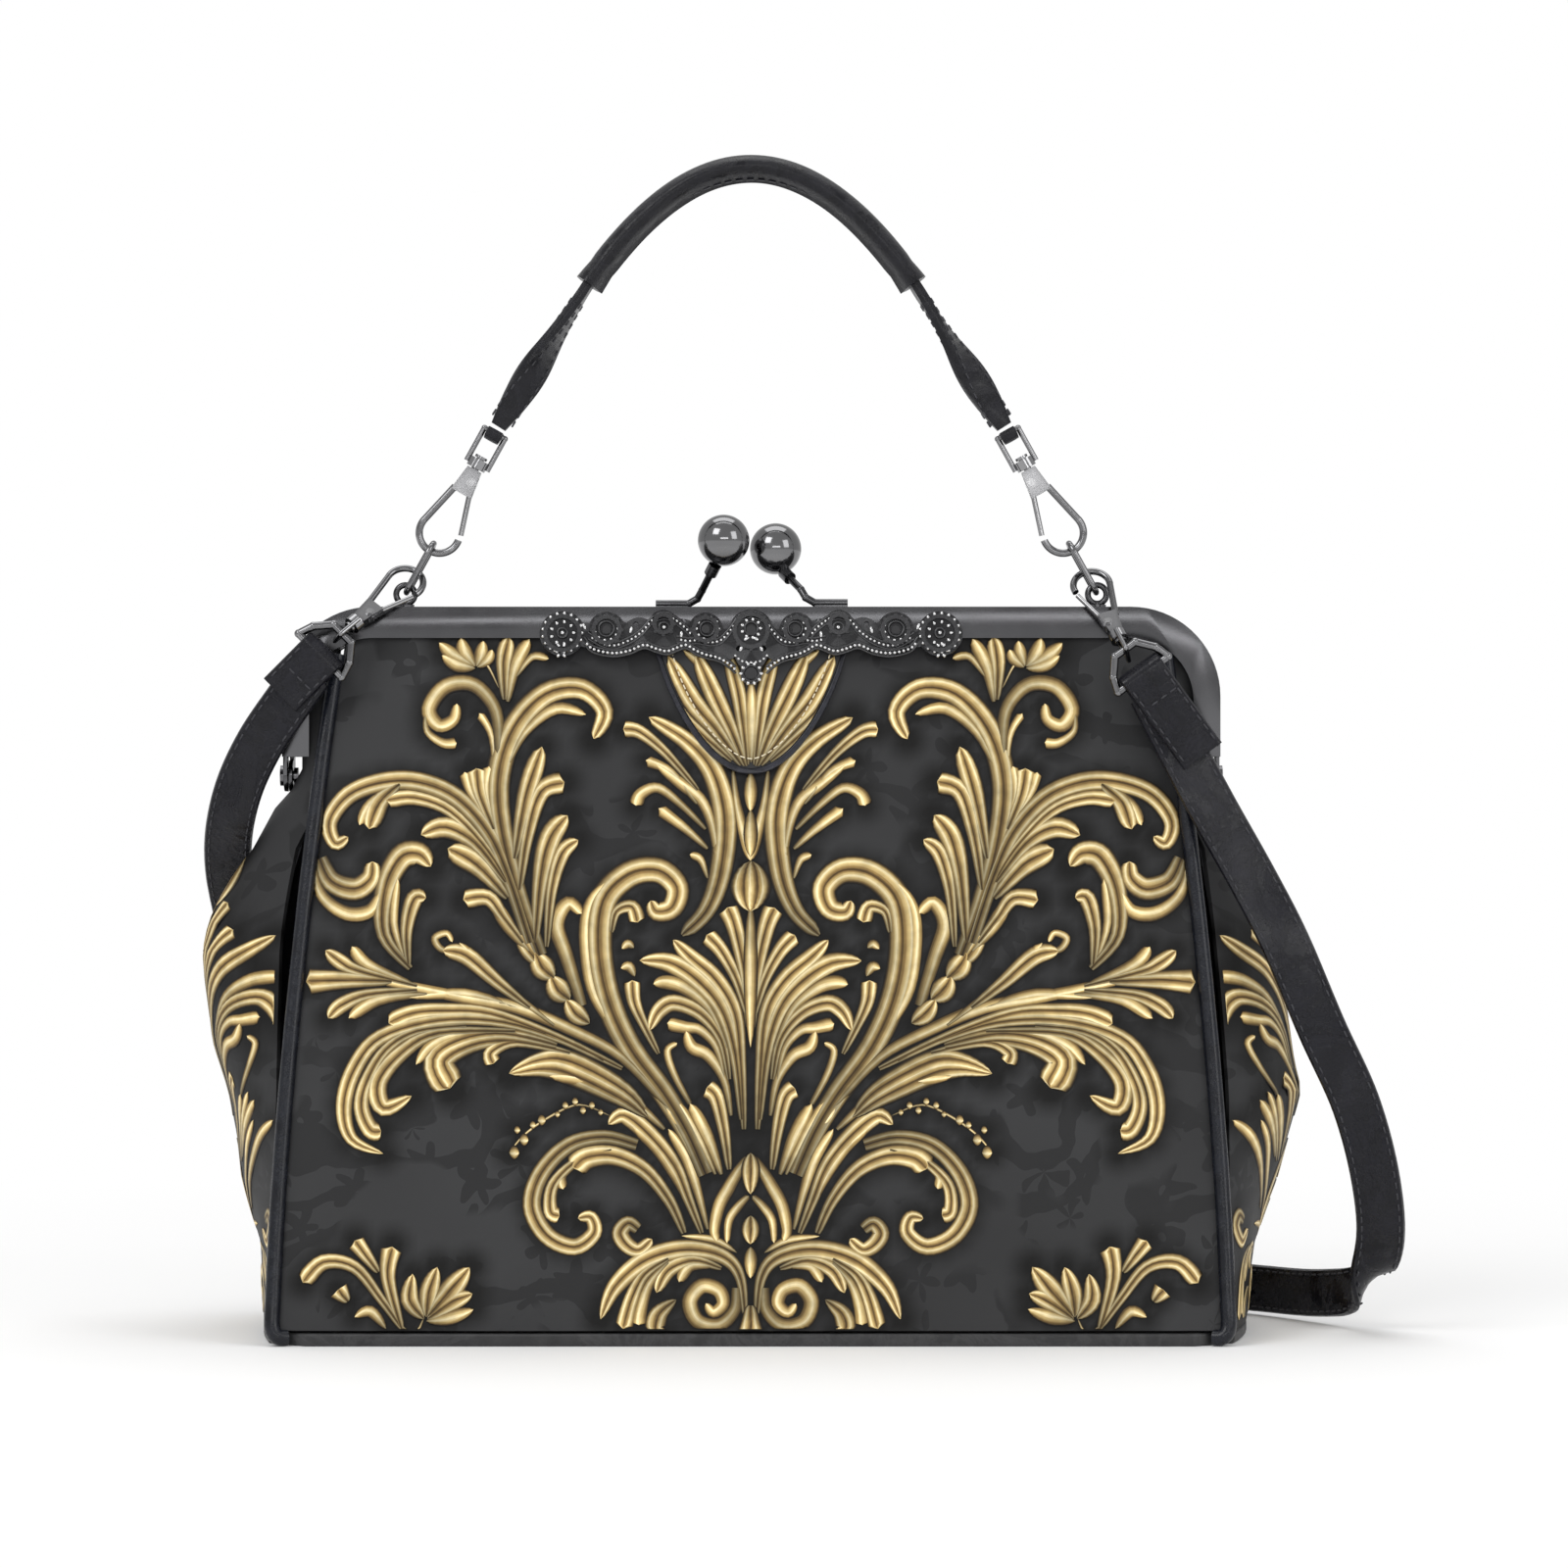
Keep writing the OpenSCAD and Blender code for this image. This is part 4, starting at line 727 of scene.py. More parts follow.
        (14, "round", [(353, 6), (377, 40), (404, 73), (436, 78), (457, 57)]),
        (16, "round", [(356, 8), (370, 62), (366, 94)]), (14, "round", [(380, 68), (391, 83), (404, 100)]),
        (16, "round", [(411, 38), (416, 44), (421, 50)]), (9, "leaf", [(372, 10), (388, 28), (404, 22)]),
    ],
    flap=[
        (13, "tip", [(4, 588), (8, 625), (14, 665), (26, 706)]),
        (16, "tip", [(6, 586), (20, 622), (38, 660), (58, 704)]),
        (17, "tip", [(10, 588), (36, 624), (62, 656), (86, 700)]),
        (14, "tip", [(20, 592), (52, 620), (78, 642), (92, 668)]),
        (10, "tip", [(30, 596), (58, 614), (84, 632)]),
        (8, "tip", [(8, 600), (26, 640), (46, 684), (70, 706)]),
    ],
    berries=[(213, 223, 4), (231, 203, 4.5), (241, 190, 5), (238, 213, 3), (153, 231, 2.5), (162, 238, 3),
             (171, 233, 3), (179, 242, 3), (189, 238, 3), (197, 229, 2.5), (222, 218, 3)],
)


def strokeWidth(kind, t):
    if kind == "leaf":
        return math.sin(math.pi * between(t, 0, 1)) ** 0.75
    if kind == "tip":
        return (0.22 + 0.95 * t ** 0.8) * max(0.0, 1 - t ** 5) ** 0.8 * 1.15
    end = 1.0 if t < 0.9 else math.sqrt(max(0.0, 1 - ((t - 0.9) / 0.1) ** 2))
    if kind == "round":
        return (0.25 + 0.75 * t ** 0.7) * end
    if kind == "curl":
        return (0.4 + 0.6 * math.sin(math.pi * min(1, 0.15 + 0.75 * t))) * end
    return (0.55 + 0.45 * math.sin(math.pi * t)) * (end if t > 0.5 else min(1.0, 0.3 + t * 14))


def addStroke(made, width, kind, spots, surface, layer):
    verts, faces, uvs, strands = made
    line = curved([Vector((u, v, 0)) for u, v in spots], damask["steps"])
    lift = damask["lift"] + layer * damask["layer"]
    width *= damask["fullness"]
    count = max(1, round(width / damask["strandWidth"]))
    ridge = min(damask["ridge"], width * damask["thinRidge"])
    profile = [(a, lift + high * ridge) for a, high in damask["profile"]]
    profile += [(0.8, -damask["sink"]), (-0.8, -damask["sink"])]  # the underside lies in the leather
    start = len(verts)
    for i, spot in enumerate(line):
        t = i / (len(line) - 1)
        along = alongLine(line, i)
        normal = Vector((-along.y, along.x, 0))
        half = max(0.25, 0.5 * width * strokeWidth(kind, t))
        for a, height in profile:
            place = spot + normal * a * half
            verts.append(surface(place.x, place.y, height))
            uvs.append((t, 0.5 + a / 2))
            strands.append((count * (0.5 + a / 2), 0))
    faces += ringFaces(len(line), len(profile), start)


def printedStrokes(*sets):
    strokes = []
    for name in sets:
        for width, kind, spots in damask[name]:
            strokes.append((width, kind, spots))
            strokes.append((width, kind, [(-u, v) for u, v in spots]))
    return strokes


def berryStrokes():
    strokes = []
    for u, v, size in damask["berries"]:
        for side in (1, -1):
            middle = (side * u, v + damask["dotSlope"])
            strokes.append((2 * size, "leaf", [(side * u - size, v), middle, (side * u + size, v)]))
    return strokes


def printPiece(name, strokes, surface, body):
    made = ([], [], [], [])
    for layer, (width, kind, spots) in enumerate(strokes):
        addStroke(made, width, kind, spots, surface, layer)
    piece = outwards(pieceFrom(name, *made))
    return finished(piece, goldPrint, body, smooth=75)


panelStrokes = printedStrokes("side", "foot", "volute", "palmette", "drooping", "plume", "sprig")
panelStrokes += berryStrokes() + damask["middle"]


def haloed(piece, strokes, toDesign):
    spots = [(p, width) for width, kind, line in strokes
             for p in curved([Vector((u, v, 0)) for u, v in line], 2)]
    tree = kdtree.KDTree(len(spots))
    for i, (p, width) in enumerate(spots):
        tree.insert(p, i)
    tree.balance()
    halo = piece.data.attributes.new("halo", "FLOAT", "POINT")
    for i, vertex in enumerate(piece.data.vertices):
        index, gap = tree.find(Vector((*toDesign(vertex.co), 0)))[1:]
        gap = max(0.0, gap - spots[index][1] * 0.5)
        halo.data[i].value = max(0.0, 1 - gap / damask["haloReach"]) ** 1.3


def designStep(z):
    return damask["unit"] * (-view["place"][1] - seamY(z)) / damask["unitFar"]


def panelDesign(place):
    step = designStep(place.z)
    return ((place.x - view["place"][0]) / step + damask["axis"],
            (place.z - view["place"][2]) / step + damask["eyeUp"])


# The flap presses the panel flat from flapFoot up and as far out as flapHalf
panelLook = dict(
    crown=0.0020, edgeDrop=0.0009, ripple=0.00055, crease=0.0005, thickness=0.0017, columns=150, rows=110,
    footGap=0.0006, topReach=0.2068, sideShare=0.75, flapFoot=0.14, flapHalf=0.05, flapFade=0.018,
)


def panelSwell(x, z):
    u = min(1.0, abs(x) / (seamX(z) - bag["piping"]))
    v = between(z / bag["seamTop"], 0.0, 1.0)
    under = (between((z - panelLook["flapFoot"]) / panelLook["flapFade"], 0.0, 1.0)
             * between((panelLook["flapHalf"] - abs(x)) / panelLook["flapFade"], 0.0, 1.0))
    crown = panelLook["crown"] * (1 - u ** 4) * math.sin(math.pi * min(1, v * 1.02)) ** 0.7
    crown *= 1 - 0.95 * under
    drop = panelLook["edgeDrop"] * u ** 14
    wave = panelLook["ripple"] * noise.noise(Vector((x * 26, z * 20, 3.1)))
    crease = panelLook["crease"] * noise.noise(Vector((x * 70, z * 16, 8.7))) * max(0, v - 0.55) * 2
    fade = min(1.0, (1 - u) * 9) * between((0.199 - z) / 0.02, 0.0, 1.0) * min(1.0, z / 0.012)
    return crown - drop + (wave + crease) * max(0.0, fade)


def panelPoint(x, z, side=-1, lift=0.0):
    return Vector((x, side * (seamY(z) + panelSwell(x, z) + lift), z))


def panelPiece(name, side):
    look = panelLook
    verts, uvs = [], []
    for j in range(look["rows"] + 1):
        z = mix(bag["foot"] + look["footGap"], look["topReach"], j / look["rows"])
        half = seamX(z) - bag["piping"] * look["sideShare"]
        for i in range(look["columns"] + 1):
            x = half * (2 * i / look["columns"] - 1)
            verts.append(panelPoint(x, z, side))
            uvs.append((x, z))
    piece = pieceFrom(name, verts, gridFaces(look["rows"], look["columns"], side > 0), uvs)
    haloed(piece, panelStrokes, panelDesign)
    return applied(piece, "SOLIDIFY", thickness=look["thickness"], offset=-1)


frontPanel = panelPiece("front_padded_panel", -1)
finished(frontPanel, printGround, "root", ["front_panel"], 60)
rearPanel = panelPiece("rear_padded_panel", 1)
finished(rearPanel, printGround, "root",
         ["rear_panel", "rear_panel_fold", "rear_panel_top"], 60)


def foldedAtHinge(piece):
    piece.parent = None
    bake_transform(piece)


foldedAtHinge(rearPanel)


def onPanel(side):
    def place(u, v, lift):
        z = v * damask["unit"]
        for turn in range(3):  # the scale depends on how far back the panel leans at that height
            step = designStep(z)
            z = view["place"][2] + (v - damask["eyeUp"]) * step
        x = view["place"][0] + (u - damask["axis"]) * step
        z = between(z, *damask["panelSpan"])
        reach = seamX(z) - bag["piping"] * 1.02
        return panelPoint(between(x, -reach, reach), z, side, lift)
    return place


printPiece("front_gold_print", panelStrokes, onPanel(-1), "root")
foldedAtHinge(printPiece("rear_gold_print", panelStrokes, onPanel(1), "root"))

# How far each side wall stands out past the seam, in millimetres, by height
gussetLook = dict(
    thickness=0.0014, columns=16, edge=0.0032, ripple=0.0016, crease=0.0007,
    left=[(4, 6.5), (24, 7), (45, 14), (66, 19), (84, 25), (110, 31), (118, 30), (131, 24), (146, 15.5),
          (160, 11)],
    right=[(4, 9), (24, 12), (45, 19), (60, 24), (70, 28), (90, 26), (120, 22), (140, 17), (146, 16),
           (160, 13)],
    lower=[0.0039, 0.008] + [0.014 + 0.006 * k for k in range(22)],
    upper=[0.1515, 0.157, 0.163, 0.17, 0.178, 0.186, 0.194, 0.202],
    stripX=0.1305, stripDepth=0.005, tuckZ=0.158, hingeOut=0.0095, cornerIn=0.0075,
    printUp=12, printScale=0.98, printTop=492, printHalf=162, printLean=0.14,
)


def gussetPoint(side, z, f, lift=0.0):
    y = f * (seamY(z) - gussetLook["edge"])
    bulge = lookup(z / mm, gussetLook["left" if side < 0 else "right"]) * mm
    x = seamX(z) + bulge * (1 - min(1, abs(y) / seamY(z)) ** 1.7)
    fade = (1 - f * f) * min(1.0, z / 0.02)
    x += fade * (gussetLook["ripple"] * noise.noise(Vector((side * 4, y * 34, z * 30)))
                 + gussetLook["crease"] * noise.noise(Vector((side * 9, y * 90, z * 60))))
    return Vector((side * (x + lift), y, z))


def legEdge(z):
    strip = gussetLook["stripX"]
    return lookup(z, [(bag["foldStart"], strip + gussetLook["hingeOut"]), (bag["hinge"], strip),
                      (bag["frameTop"] - 0.018, strip),
                      (bag["frameTop"] - 0.007, strip - gussetLook["cornerIn"])])


def gussetTopPoint(side, end, z, t):
    share = min(1.0, (z - bag["foldStart"]) / (gussetLook["tuckZ"] - bag["foldStart"]))
    seam = Vector((side * (seamX(z) + 0.0002), end * (seamY(z) - gussetLook["edge"]), z))
    middle = gussetPoint(side, bag["foldStart"], 0)
    middle.z = z
    leg = Vector((side * legEdge(z), end * gussetLook["stripDepth"], z))
    point = seam.lerp(middle.lerp(leg, share ** 0.8), t)
    point.x += side * math.sin(math.pi * t) * mix(0.006, 0.0012, share)
    return point


# On a gusset the cloth shows the middle of the same repeat, a little higher than in front
gussetStrokes = []
for width, kind, spots in printedStrokes("volute", "palmette", "side", "foot") + damask["middle"]:
    out, high = max(abs(u) for u, v in spots), max(v for u, v in spots)
    if out < gussetLook["printHalf"] - high * gussetLook["printLean"] and high < gussetLook["printTop"]:
        raised = [(u, v * gussetLook["printScale"] + gussetLook["printUp"]) for u, v in spots]
        gussetStrokes.append((width, kind, raised))


def gussetHalf(name, side, end):
    rows, columns = gussetLook["lower"] + gussetLook["upper"], gussetLook["columns"]
    verts, uvs = [], []
    for z in rows:
        for i in range(columns + 1):
            t = i / columns
            if z <= bag["foldStart"]:
                verts.append(gussetPoint(side, z, end * (1 - t)))
            else:
                verts.append(gussetTopPoint(side, end, z, t))
            uvs.append((end * (1 - t) * seamY(z) + 0.4, z))
    piece = pieceFrom(name, verts, gridFaces(len(rows) - 1, columns, side * end > 0), uvs)
    haloed(piece, gussetStrokes, lambda place: (place.y / damask["unit"], place.z / damask["unit"]))
    return applied(piece, "SOLIDIFY", thickness=gussetLook["thickness"], offset=-1)


def onGusset(side):
    def place(u, v, lift):
        z = between(v * damask["unit"], 0.006, bag["foldStart"] - 0.001)
        reach = seamY(z) - gussetLook["edge"]
        return gussetPoint(side, z, between(u * damask["unit"] / reach, -0.97, 0.97), lift)
    return place


for side, word in ((-1, "left"), (1, "right")):
    printPiece(word + "_gusset_gold_print", gussetStrokes, onGusset(side), "root")
    frontHalf = gussetHalf(word + "_gusset_front", side, -1)
    finished(frontHalf, printGround, "root", [word + "_gusset"], 60)
    rearHalf = gussetHalf(word + "_gusset_rear", side, 1)
    finished(rearHalf, printGround, "root", [word + "_gusset_top"], 60)
    foldedAtHinge(rearHalf)


def pipingLine(side, depthSide, top):
    line = [Vector((side * (seamX(0.0) - 0.0042), depthSide * (bag["baseDepth"] - 0.0022), 0.0024)),
            Vector((side * (seamX(0.002) - 0.0016), depthSide * (bag["baseDepth"] - 0.0012), 0.0027))]
    z = 0.0055
    while z < top - 0.002:
        line.append(Vector((side * seamX(z), depthSide * (seamY(z) - 0.0006), z)))
        z += 0.0065
    line.append(Vector((side * seamX(top), depthSide * (seamY(top) - 0.0006), top)))
    return line


for depthSide, word, replaced in ((-1, "front", ["front_piping"]),
                                  (1, "rear", ["rear_piping", "rear_piping_top"])):
    parts = []
    for side in (-1, 1):
        line = curved(pipingLine(side, depthSide, 0.196), 3)
        radii = [bag["piping"] * (1 + 0.03 * noise.noise(p * 90)) for p in line]
        parts.append(tube("piping", line, radii))
    piping = joined(word + "_seam_piping", parts)
    finished(piping, pipingLeather, "root", replaced, 60)
    if depthSide > 0:
        foldedAtHinge(piping)

# The base is a stiffened leather panel with a rounded edge that shows as a band under the front
softened("base_panel", edgeLeather, 0.0007, "root", 3)


def liningRear():
    verts = []
    rows, columns = 40, 30
    for j in range(rows + 1):
        z = mix(0.007, bag["seamTop"], j / rows)
        half = seamX(z) - 0.0038
        for i in range(columns + 1):
            x = half * (2 * i / columns - 1)
            sag = 0.0004 * noise.noise(Vector((x * 40, z * 30, 1.7)))
            verts.append((x, seamY(z) - 0.0024 + sag, z))
    piece = pieceFrom("rear_lining_sheet", verts, gridFaces(rows, columns, True))
    applied(piece, "SOLIDIFY", thickness=0.0008, offset=-1)
    finished(piece, lining, "root", ["lining_rear", "lining_rear_top"], 60)
    foldedAtHinge(piece)


liningRear()

print("stage: straps")
band = dict(crown=0.12, rounding=0.35)
stitch = dict(pitch=0.0032, length=0.0023, radius=0.00028, sides=5, dip=0.00025)


def bandOutline():
    flat = [(0.95 * 0.98 * (k / 4 - 1), 1 - band["crown"] * (k / 4 - 1) ** 2) for k in range(9)]
    outline = [(-1.0, 0.0), (-0.985, band["rounding"])] + flat + [(0.985, band["rounding"]), (1.0, 0.0)]
    return outline + [(x, -y) for x, y in outline[-2:0:-1]]


def bandPiece(name, line, wides, width, thick):
    verts, uvs = [], []
    widths = width if isinstance(width, list) else [width] * len(line)
    thicks = thick if isinstance(thick, list) else [thick] * len(line)
    outline = bandOutline()
    travelled = 0
    for i, point in enumerate(line):
        along = alongLine(line, i)
        wide = square(wides[i], along)
        flat = along.cross(wide)
        if i:
            travelled += (point - line[i - 1]).length
        for a, b in outline:
            verts.append(point + a * widths[i] / 2 * wide + b * thicks[i] / 2 * flat)
            uvs.append((travelled, a * widths[i] / 2))
    return outwards(pieceFrom(name, verts, ringFaces(len(line), len(outline)), uvs))


def stitchRow(line, wides, offset, lift, pitch=stitch["pitch"], length=stitch["length"],
              radius=stitch["radius"]):
    verts, faces = [], []
    sides = stitch["sides"]
    travelled, target = 0.0, pitch
    for i in range(1, len(line)):
        step = (line[i] - line[i - 1]).length
        along = (line[i] - line[i - 1]).normalized()
        while travelled + step >= target:
            t = (target - travelled) / step
            wide = square(wides[i - 1].lerp(wides[i], t), along)
            flat = along.cross(wide)
            center = line[i - 1].lerp(line[i], t) + offset * wide + lift * flat
            start = len(verts)
            for share, size in ((-0.5, 0.35), (-0.38, 1), (0.38, 1), (0.5, 0.35)):
                dip = -stitch["dip"] * (1 if lift > 0 else -1) if abs(share) == 0.5 else 0
                for k in range(sides):
                    a = 2 * math.pi * k / sides
                    verts.append(center + along * share * length + flat * dip
                                 + size * radius * (math.cos(a) * wide + math.sin(a) * flat))
            faces += ringFaces(4, sides, start)
            target += pitch
        travelled += step
    return verts, faces


def stitchPiece(name, rows, body, material):
    verts, faces = [], []
    for rowVerts, rowFaces in rows:
        start = len(verts)
        verts += rowVerts
        faces += [tuple(start + i for i in face) for face in rowFaces]
    return finished(pieceFrom(name, verts, faces), material, body, smooth=70)


print("stage: flap")
flap = dict(
    top=0.2006, long=0.038, half=0.027, face=0.00133, inset=0.0033, roundness=(1.35, 0.55), edge=0.0006,
    stitchLift=0.0006, stitchPitch=0.0021, stitchLength=0.0015, stitchRadius=0.00021, hidden=0.0022,
    midrib=(12, "leaf", [(0, 590), (0, 630), (0, 676)]),
)
softened("tongue", printGround, 0.0003, "root", 3)
softened("tongue_piping", flapEdge, 0.0006, "root", 4)


def flapHalf(z):
    share = between((flap["top"] - z) / flap["long"], 0.0, 1.0)
    belly, tip = flap["roundness"]
    return flap["half"] * (1 - share ** belly) ** tip


def onFlap(x, z, lift):
    return Vector((x, -(seamY(z) + flap["face"] + lift), z))


def flapPlace(u, v, lift):
    z = max(v * damask["unit"] - 0.0005, flap["top"] - flap["long"] + 2 * flap["edge"])
    half = max(0.0005, flapHalf(z) - flap["edge"])
    return onFlap(between(u * damask["unit"], -half, half), z, lift)


def flapSeam(inset):
    edge, seam = [], []
    for k in range(81):
        z = flap["top"] - flap["long"] * math.sin(math.pi * k / 80)
        edge.append(Vector((flapHalf(z) * (-1 if k < 40 else 1), 0, z)))
    for k, p in enumerate(edge):
        along = alongLine(edge, k)
        x, z = p.x - inset * along.z, p.z + inset * along.x
        if (x < 0) == (k < 40) and z < flap["top"] - flap["hidden"]:
            seam.append(onFlap(x, z, flap["stitchLift"]))
    return seam


def flapDressing():
    printPiece("flap_gold_print", printedStrokes("flap") + [flap["midrib"]], flapPlace, "root")
    line = flapSeam(flap["inset"])
    flats = [alongLine(line, i).cross(Vector((0, -1, 0))).normalized() for i in range(len(line))]
    row = stitchRow(line, flats, 0.0, 0.00014, flap["stitchPitch"], flap["stitchLength"],
                    flap["stitchRadius"])
    stitchPiece("flap_stitches", [row], "root", goldThread)


flapDressing()

# The shoulder strap's middle in millimetres, from the right ring on, each with the way of its width;
# a bar is a ring's straight side: its middle, its way, and how far the fold round it reaches
strap = dict(
    width=0.014, thick=0.0028, seamInset=0.0016, foldWidth=0.0134, foldWall=0.0019, ringWire=0.0012,
    seamDown=0.0085,
    bars={"right": ((112.659, -22.2013, 190.104), (0.808, -0.0127, 0.589), 29),
          "left": ((-124.037, -18.7745, 195.633), (0.7017, 0.0009, -0.7125), 16)},
    route=[((115.4, -21.6, 184.8), (0.94, 0, 0.34)), ((123, -21.5, 170), (0.93, 0, 0.36)),
           ((133, -23.5, 151), (0.91, 0, 0.4)), ((144, -26, 131), (0.9, 0, 0.43)),
           ((153, -29, 113), (0.91, 0, 0.4)), ((163, -31, 89), (0.93, 0, 0.35)),
           ((173, -30, 67), (0.96, 0, 0.28)), ((179, -27, 45), (0.97, -0.1, 0.2)),
           ((181, -19, 26), (0.85, -0.35, 0.4)), ((177, -6, 13), (0.45, -0.4, 0.8)),
           ((167, 13, 9), (0, 0, 1)), ((149, 40, 8), (0, 0, 1)), ((125, 64, 8), (0, 0, 1)),
           ((92, 82, 8), (0, 0, 1)), ((50, 90, 8), (0, 0, 1)), ((0, 92, 9), (0, 0, 1)),
           ((-45, 90, 16), (-0.1, 0, 1)), ((-84, 82, 32), (-0.3, 0.2, 0.93)),
           ((-116, 68, 56), (-0.5, 0.4, 0.76)), ((-138, 50, 82), (-0.8, 0.3, 0.5)),
           ((-149, 32, 106), (-0.97, 0.1, 0.2)), ((-153, 17, 126), (-1, 0, 0)),
           ((-153, 4, 141), (-0.99, 0, 0.1)), ((-149, -8, 156), (-0.95, 0, 0.3)),
           ((-142, -15, 170), (-0.86, 0, 0.5)), ((-133, -17.5, 183), (-0.72, 0, 0.68)),
           ((-127.4, -18.1, 190.7), (-0.64, 0, 0.77))],
)


def strapFold(bar, wide, toward, length):
    down = square(toward - bar, wide)
    out = down.cross(wide).normalized()
    reach = strap["ringWire"] + strap["foldWall"] / 2 + 0.0002
    legs = [length * (1 - k / 10) * mm for k in range(10)]
    path = [bar + d * down + reach * out for d in legs]
    for a in [math.pi * k / 12 for k in range(13)]:
        path.append(bar + reach * (math.cos(a) * out - math.sin(a) * down))
    path += [bar + d * down - reach * out for d in reversed(legs)]
    walls = [strap["foldWall"] * (0.55 if i in (0, len(path) - 1) else 1) for i in range(len(path))]
    piece = bandPiece("fold", path, [wide] * len(path), strap["foldWidth"], walls)
    rows = []
    side = strap["foldWidth"] / 2 - 0.0012
    faces = (-strap["foldWall"] / 2, strap["foldWall"] / 2)
    for offset in (-side, side):
        for leg in (path[:10], path[-10:]):
            rows += [stitchRow(leg, [wide] * 10, offset, face) for face in faces]
    for sign in (-1, 1):
        cross = [bar + strap["seamDown"] * down + sign * reach * out + t * wide * side
                 for t in (-1, -0.5, 0, 0.5, 1)]
        rows += [stitchRow(cross, [down] * 5, 0.0, face) for face in reversed(faces)]
    return piece, rows


def shoulderStrap():
    line = curved([Vector(p) * mm for p, w in strap["route"]], 8)
    wides = [w.normalized() for w in curved([Vector(w) for p, w in strap["route"]], 8)]
    piece = bandPiece("shoulder_strap_band", line, wides, strap["width"], strap["thick"])
    finished(piece, strapLeather, "root", ["shoulder_strap"], 50)
    folds, rows = [], []
    for word, toward in (("right", 1), ("left", -3)):
        place, barWay, length = strap["bars"][word]
        fold, foldRows = strapFold(Vector(place) * mm, Vector(barWay).normalized(),
                                   Vector(strap["route"][toward][0]) * mm, length)
        folds.append(fold)
        rows += foldRows
    finished(joined("shoulder_strap_end_folds", folds), strapLeather, "root", smooth=50)
    inset = strap["width"] / 2 - strap["seamInset"]
    face = strap["thick"] / 2 - 0.0001
    for offset in (-inset, inset):
        rows += [stitchRow(line, wides, offset, lift) for lift in (-face, face)]
    stitchPiece("shoulder_strap_stitches", rows, "root", blackThread)


shoulderStrap()

# The handle: doubled straps twist from the snap hooks to the rolled grip
handle = dict(
    lean=math.radians(29), gripTop=0.3379, gripHalf=0.0463, gripEnd=0.3056, gripThick=0.007,
    gripDeep=0.0126, pin=(0.1005, 0.2137), pinToBar=0.0535, barGap=0.0022, foldRadius=0.0019,
    foldWidth=0.0048, foldWall=0.0016, along=(0.15, 0.35, 0.6, 0.85), twist=(0, 0.15, 0.45, 0.8, 1, 1, 1),
    width=(0.0048, 0.0076, 0.0096, 0.0108, 0.011, 0.010, 0.009),
    thick=(0.003, 0.0034, 0.0036, 0.0034, 0.0034, 0.003, 0.0022),
    seamOut=0.003312, seamLift=0.00168, seamPitch=0.0030, seamLength=0.0021,
)


def gripPoint(x):
    drop = (handle["gripTop"] - handle["gripEnd"]) / handle["gripHalf"] ** 2
    return Vector((x, bag["hangY"], handle["gripTop"] - drop * x * x))


def handleStrap(side):
    lean = handle["lean"]
    up = Vector((-side * math.sin(lean), 0, math.cos(lean)))
    flatWide = Vector((math.cos(lean), 0, side * math.sin(lean)))
    acrossBag = Vector((0, 1, 0))
    out, high = handle["pin"]
    bar = Vector((side * out, bag["hangY"], high)) + handle["pinToBar"] * up
    clear = handle["barGap"] * up
    top = gripPoint(side * handle["gripHalf"])
    stations = [bar + clear] + [bar.lerp(top, t) + clear * (1 - t) for t in handle["along"]]
    stations += [gripPoint(side * (handle["gripHalf"] - 0.002)), gripPoint(side * 0.038)]
    steps = 8
    line = curved(stations, steps)
    wides = [w.normalized() for w in curved([flatWide.lerp(acrossBag, t) for t in handle["twist"]], steps)]
    sizes = curved([Vector((w, t, 0)) for w, t in zip(handle["width"], handle["thick"])], steps)
    parts = [bandPiece("strap", line, wides, [v.x for v in sizes], [v.y for v in sizes])]
    cut = len(line) - steps * 2
    rows = [stitchRow(line[:cut], wides[:cut], offset, lift, handle["seamPitch"], handle["seamLength"])
            for offset in (-handle["seamOut"], handle["seamOut"])
            for lift in (-handle["seamLift"], handle["seamLift"])]
    turns = [math.pi * (-0.15 + 1.3 * k / 16) for k in range(17)]
    fold = [bar + handle["foldRadius"] * (math.cos(a) * acrossBag - math.sin(a) * up) for a in turns]
    parts.append(bandPiece("fold", fold, [flatWide] * len(fold), handle["foldWidth"], handle["foldWall"]))
    return parts, rows


strapParts, stitchRows = [], []
for side in (-1, 1):
    parts, rows = handleStrap(side)
    strapParts += parts
    stitchRows += rows
handleStraps = joined("handle_strap_leather", strapParts)
finished(handleStraps, handleLeather, "handle", ["handle_strap"], 50)
stitchPiece("handle_strap_stitches", stitchRows, "handle", blackThread)


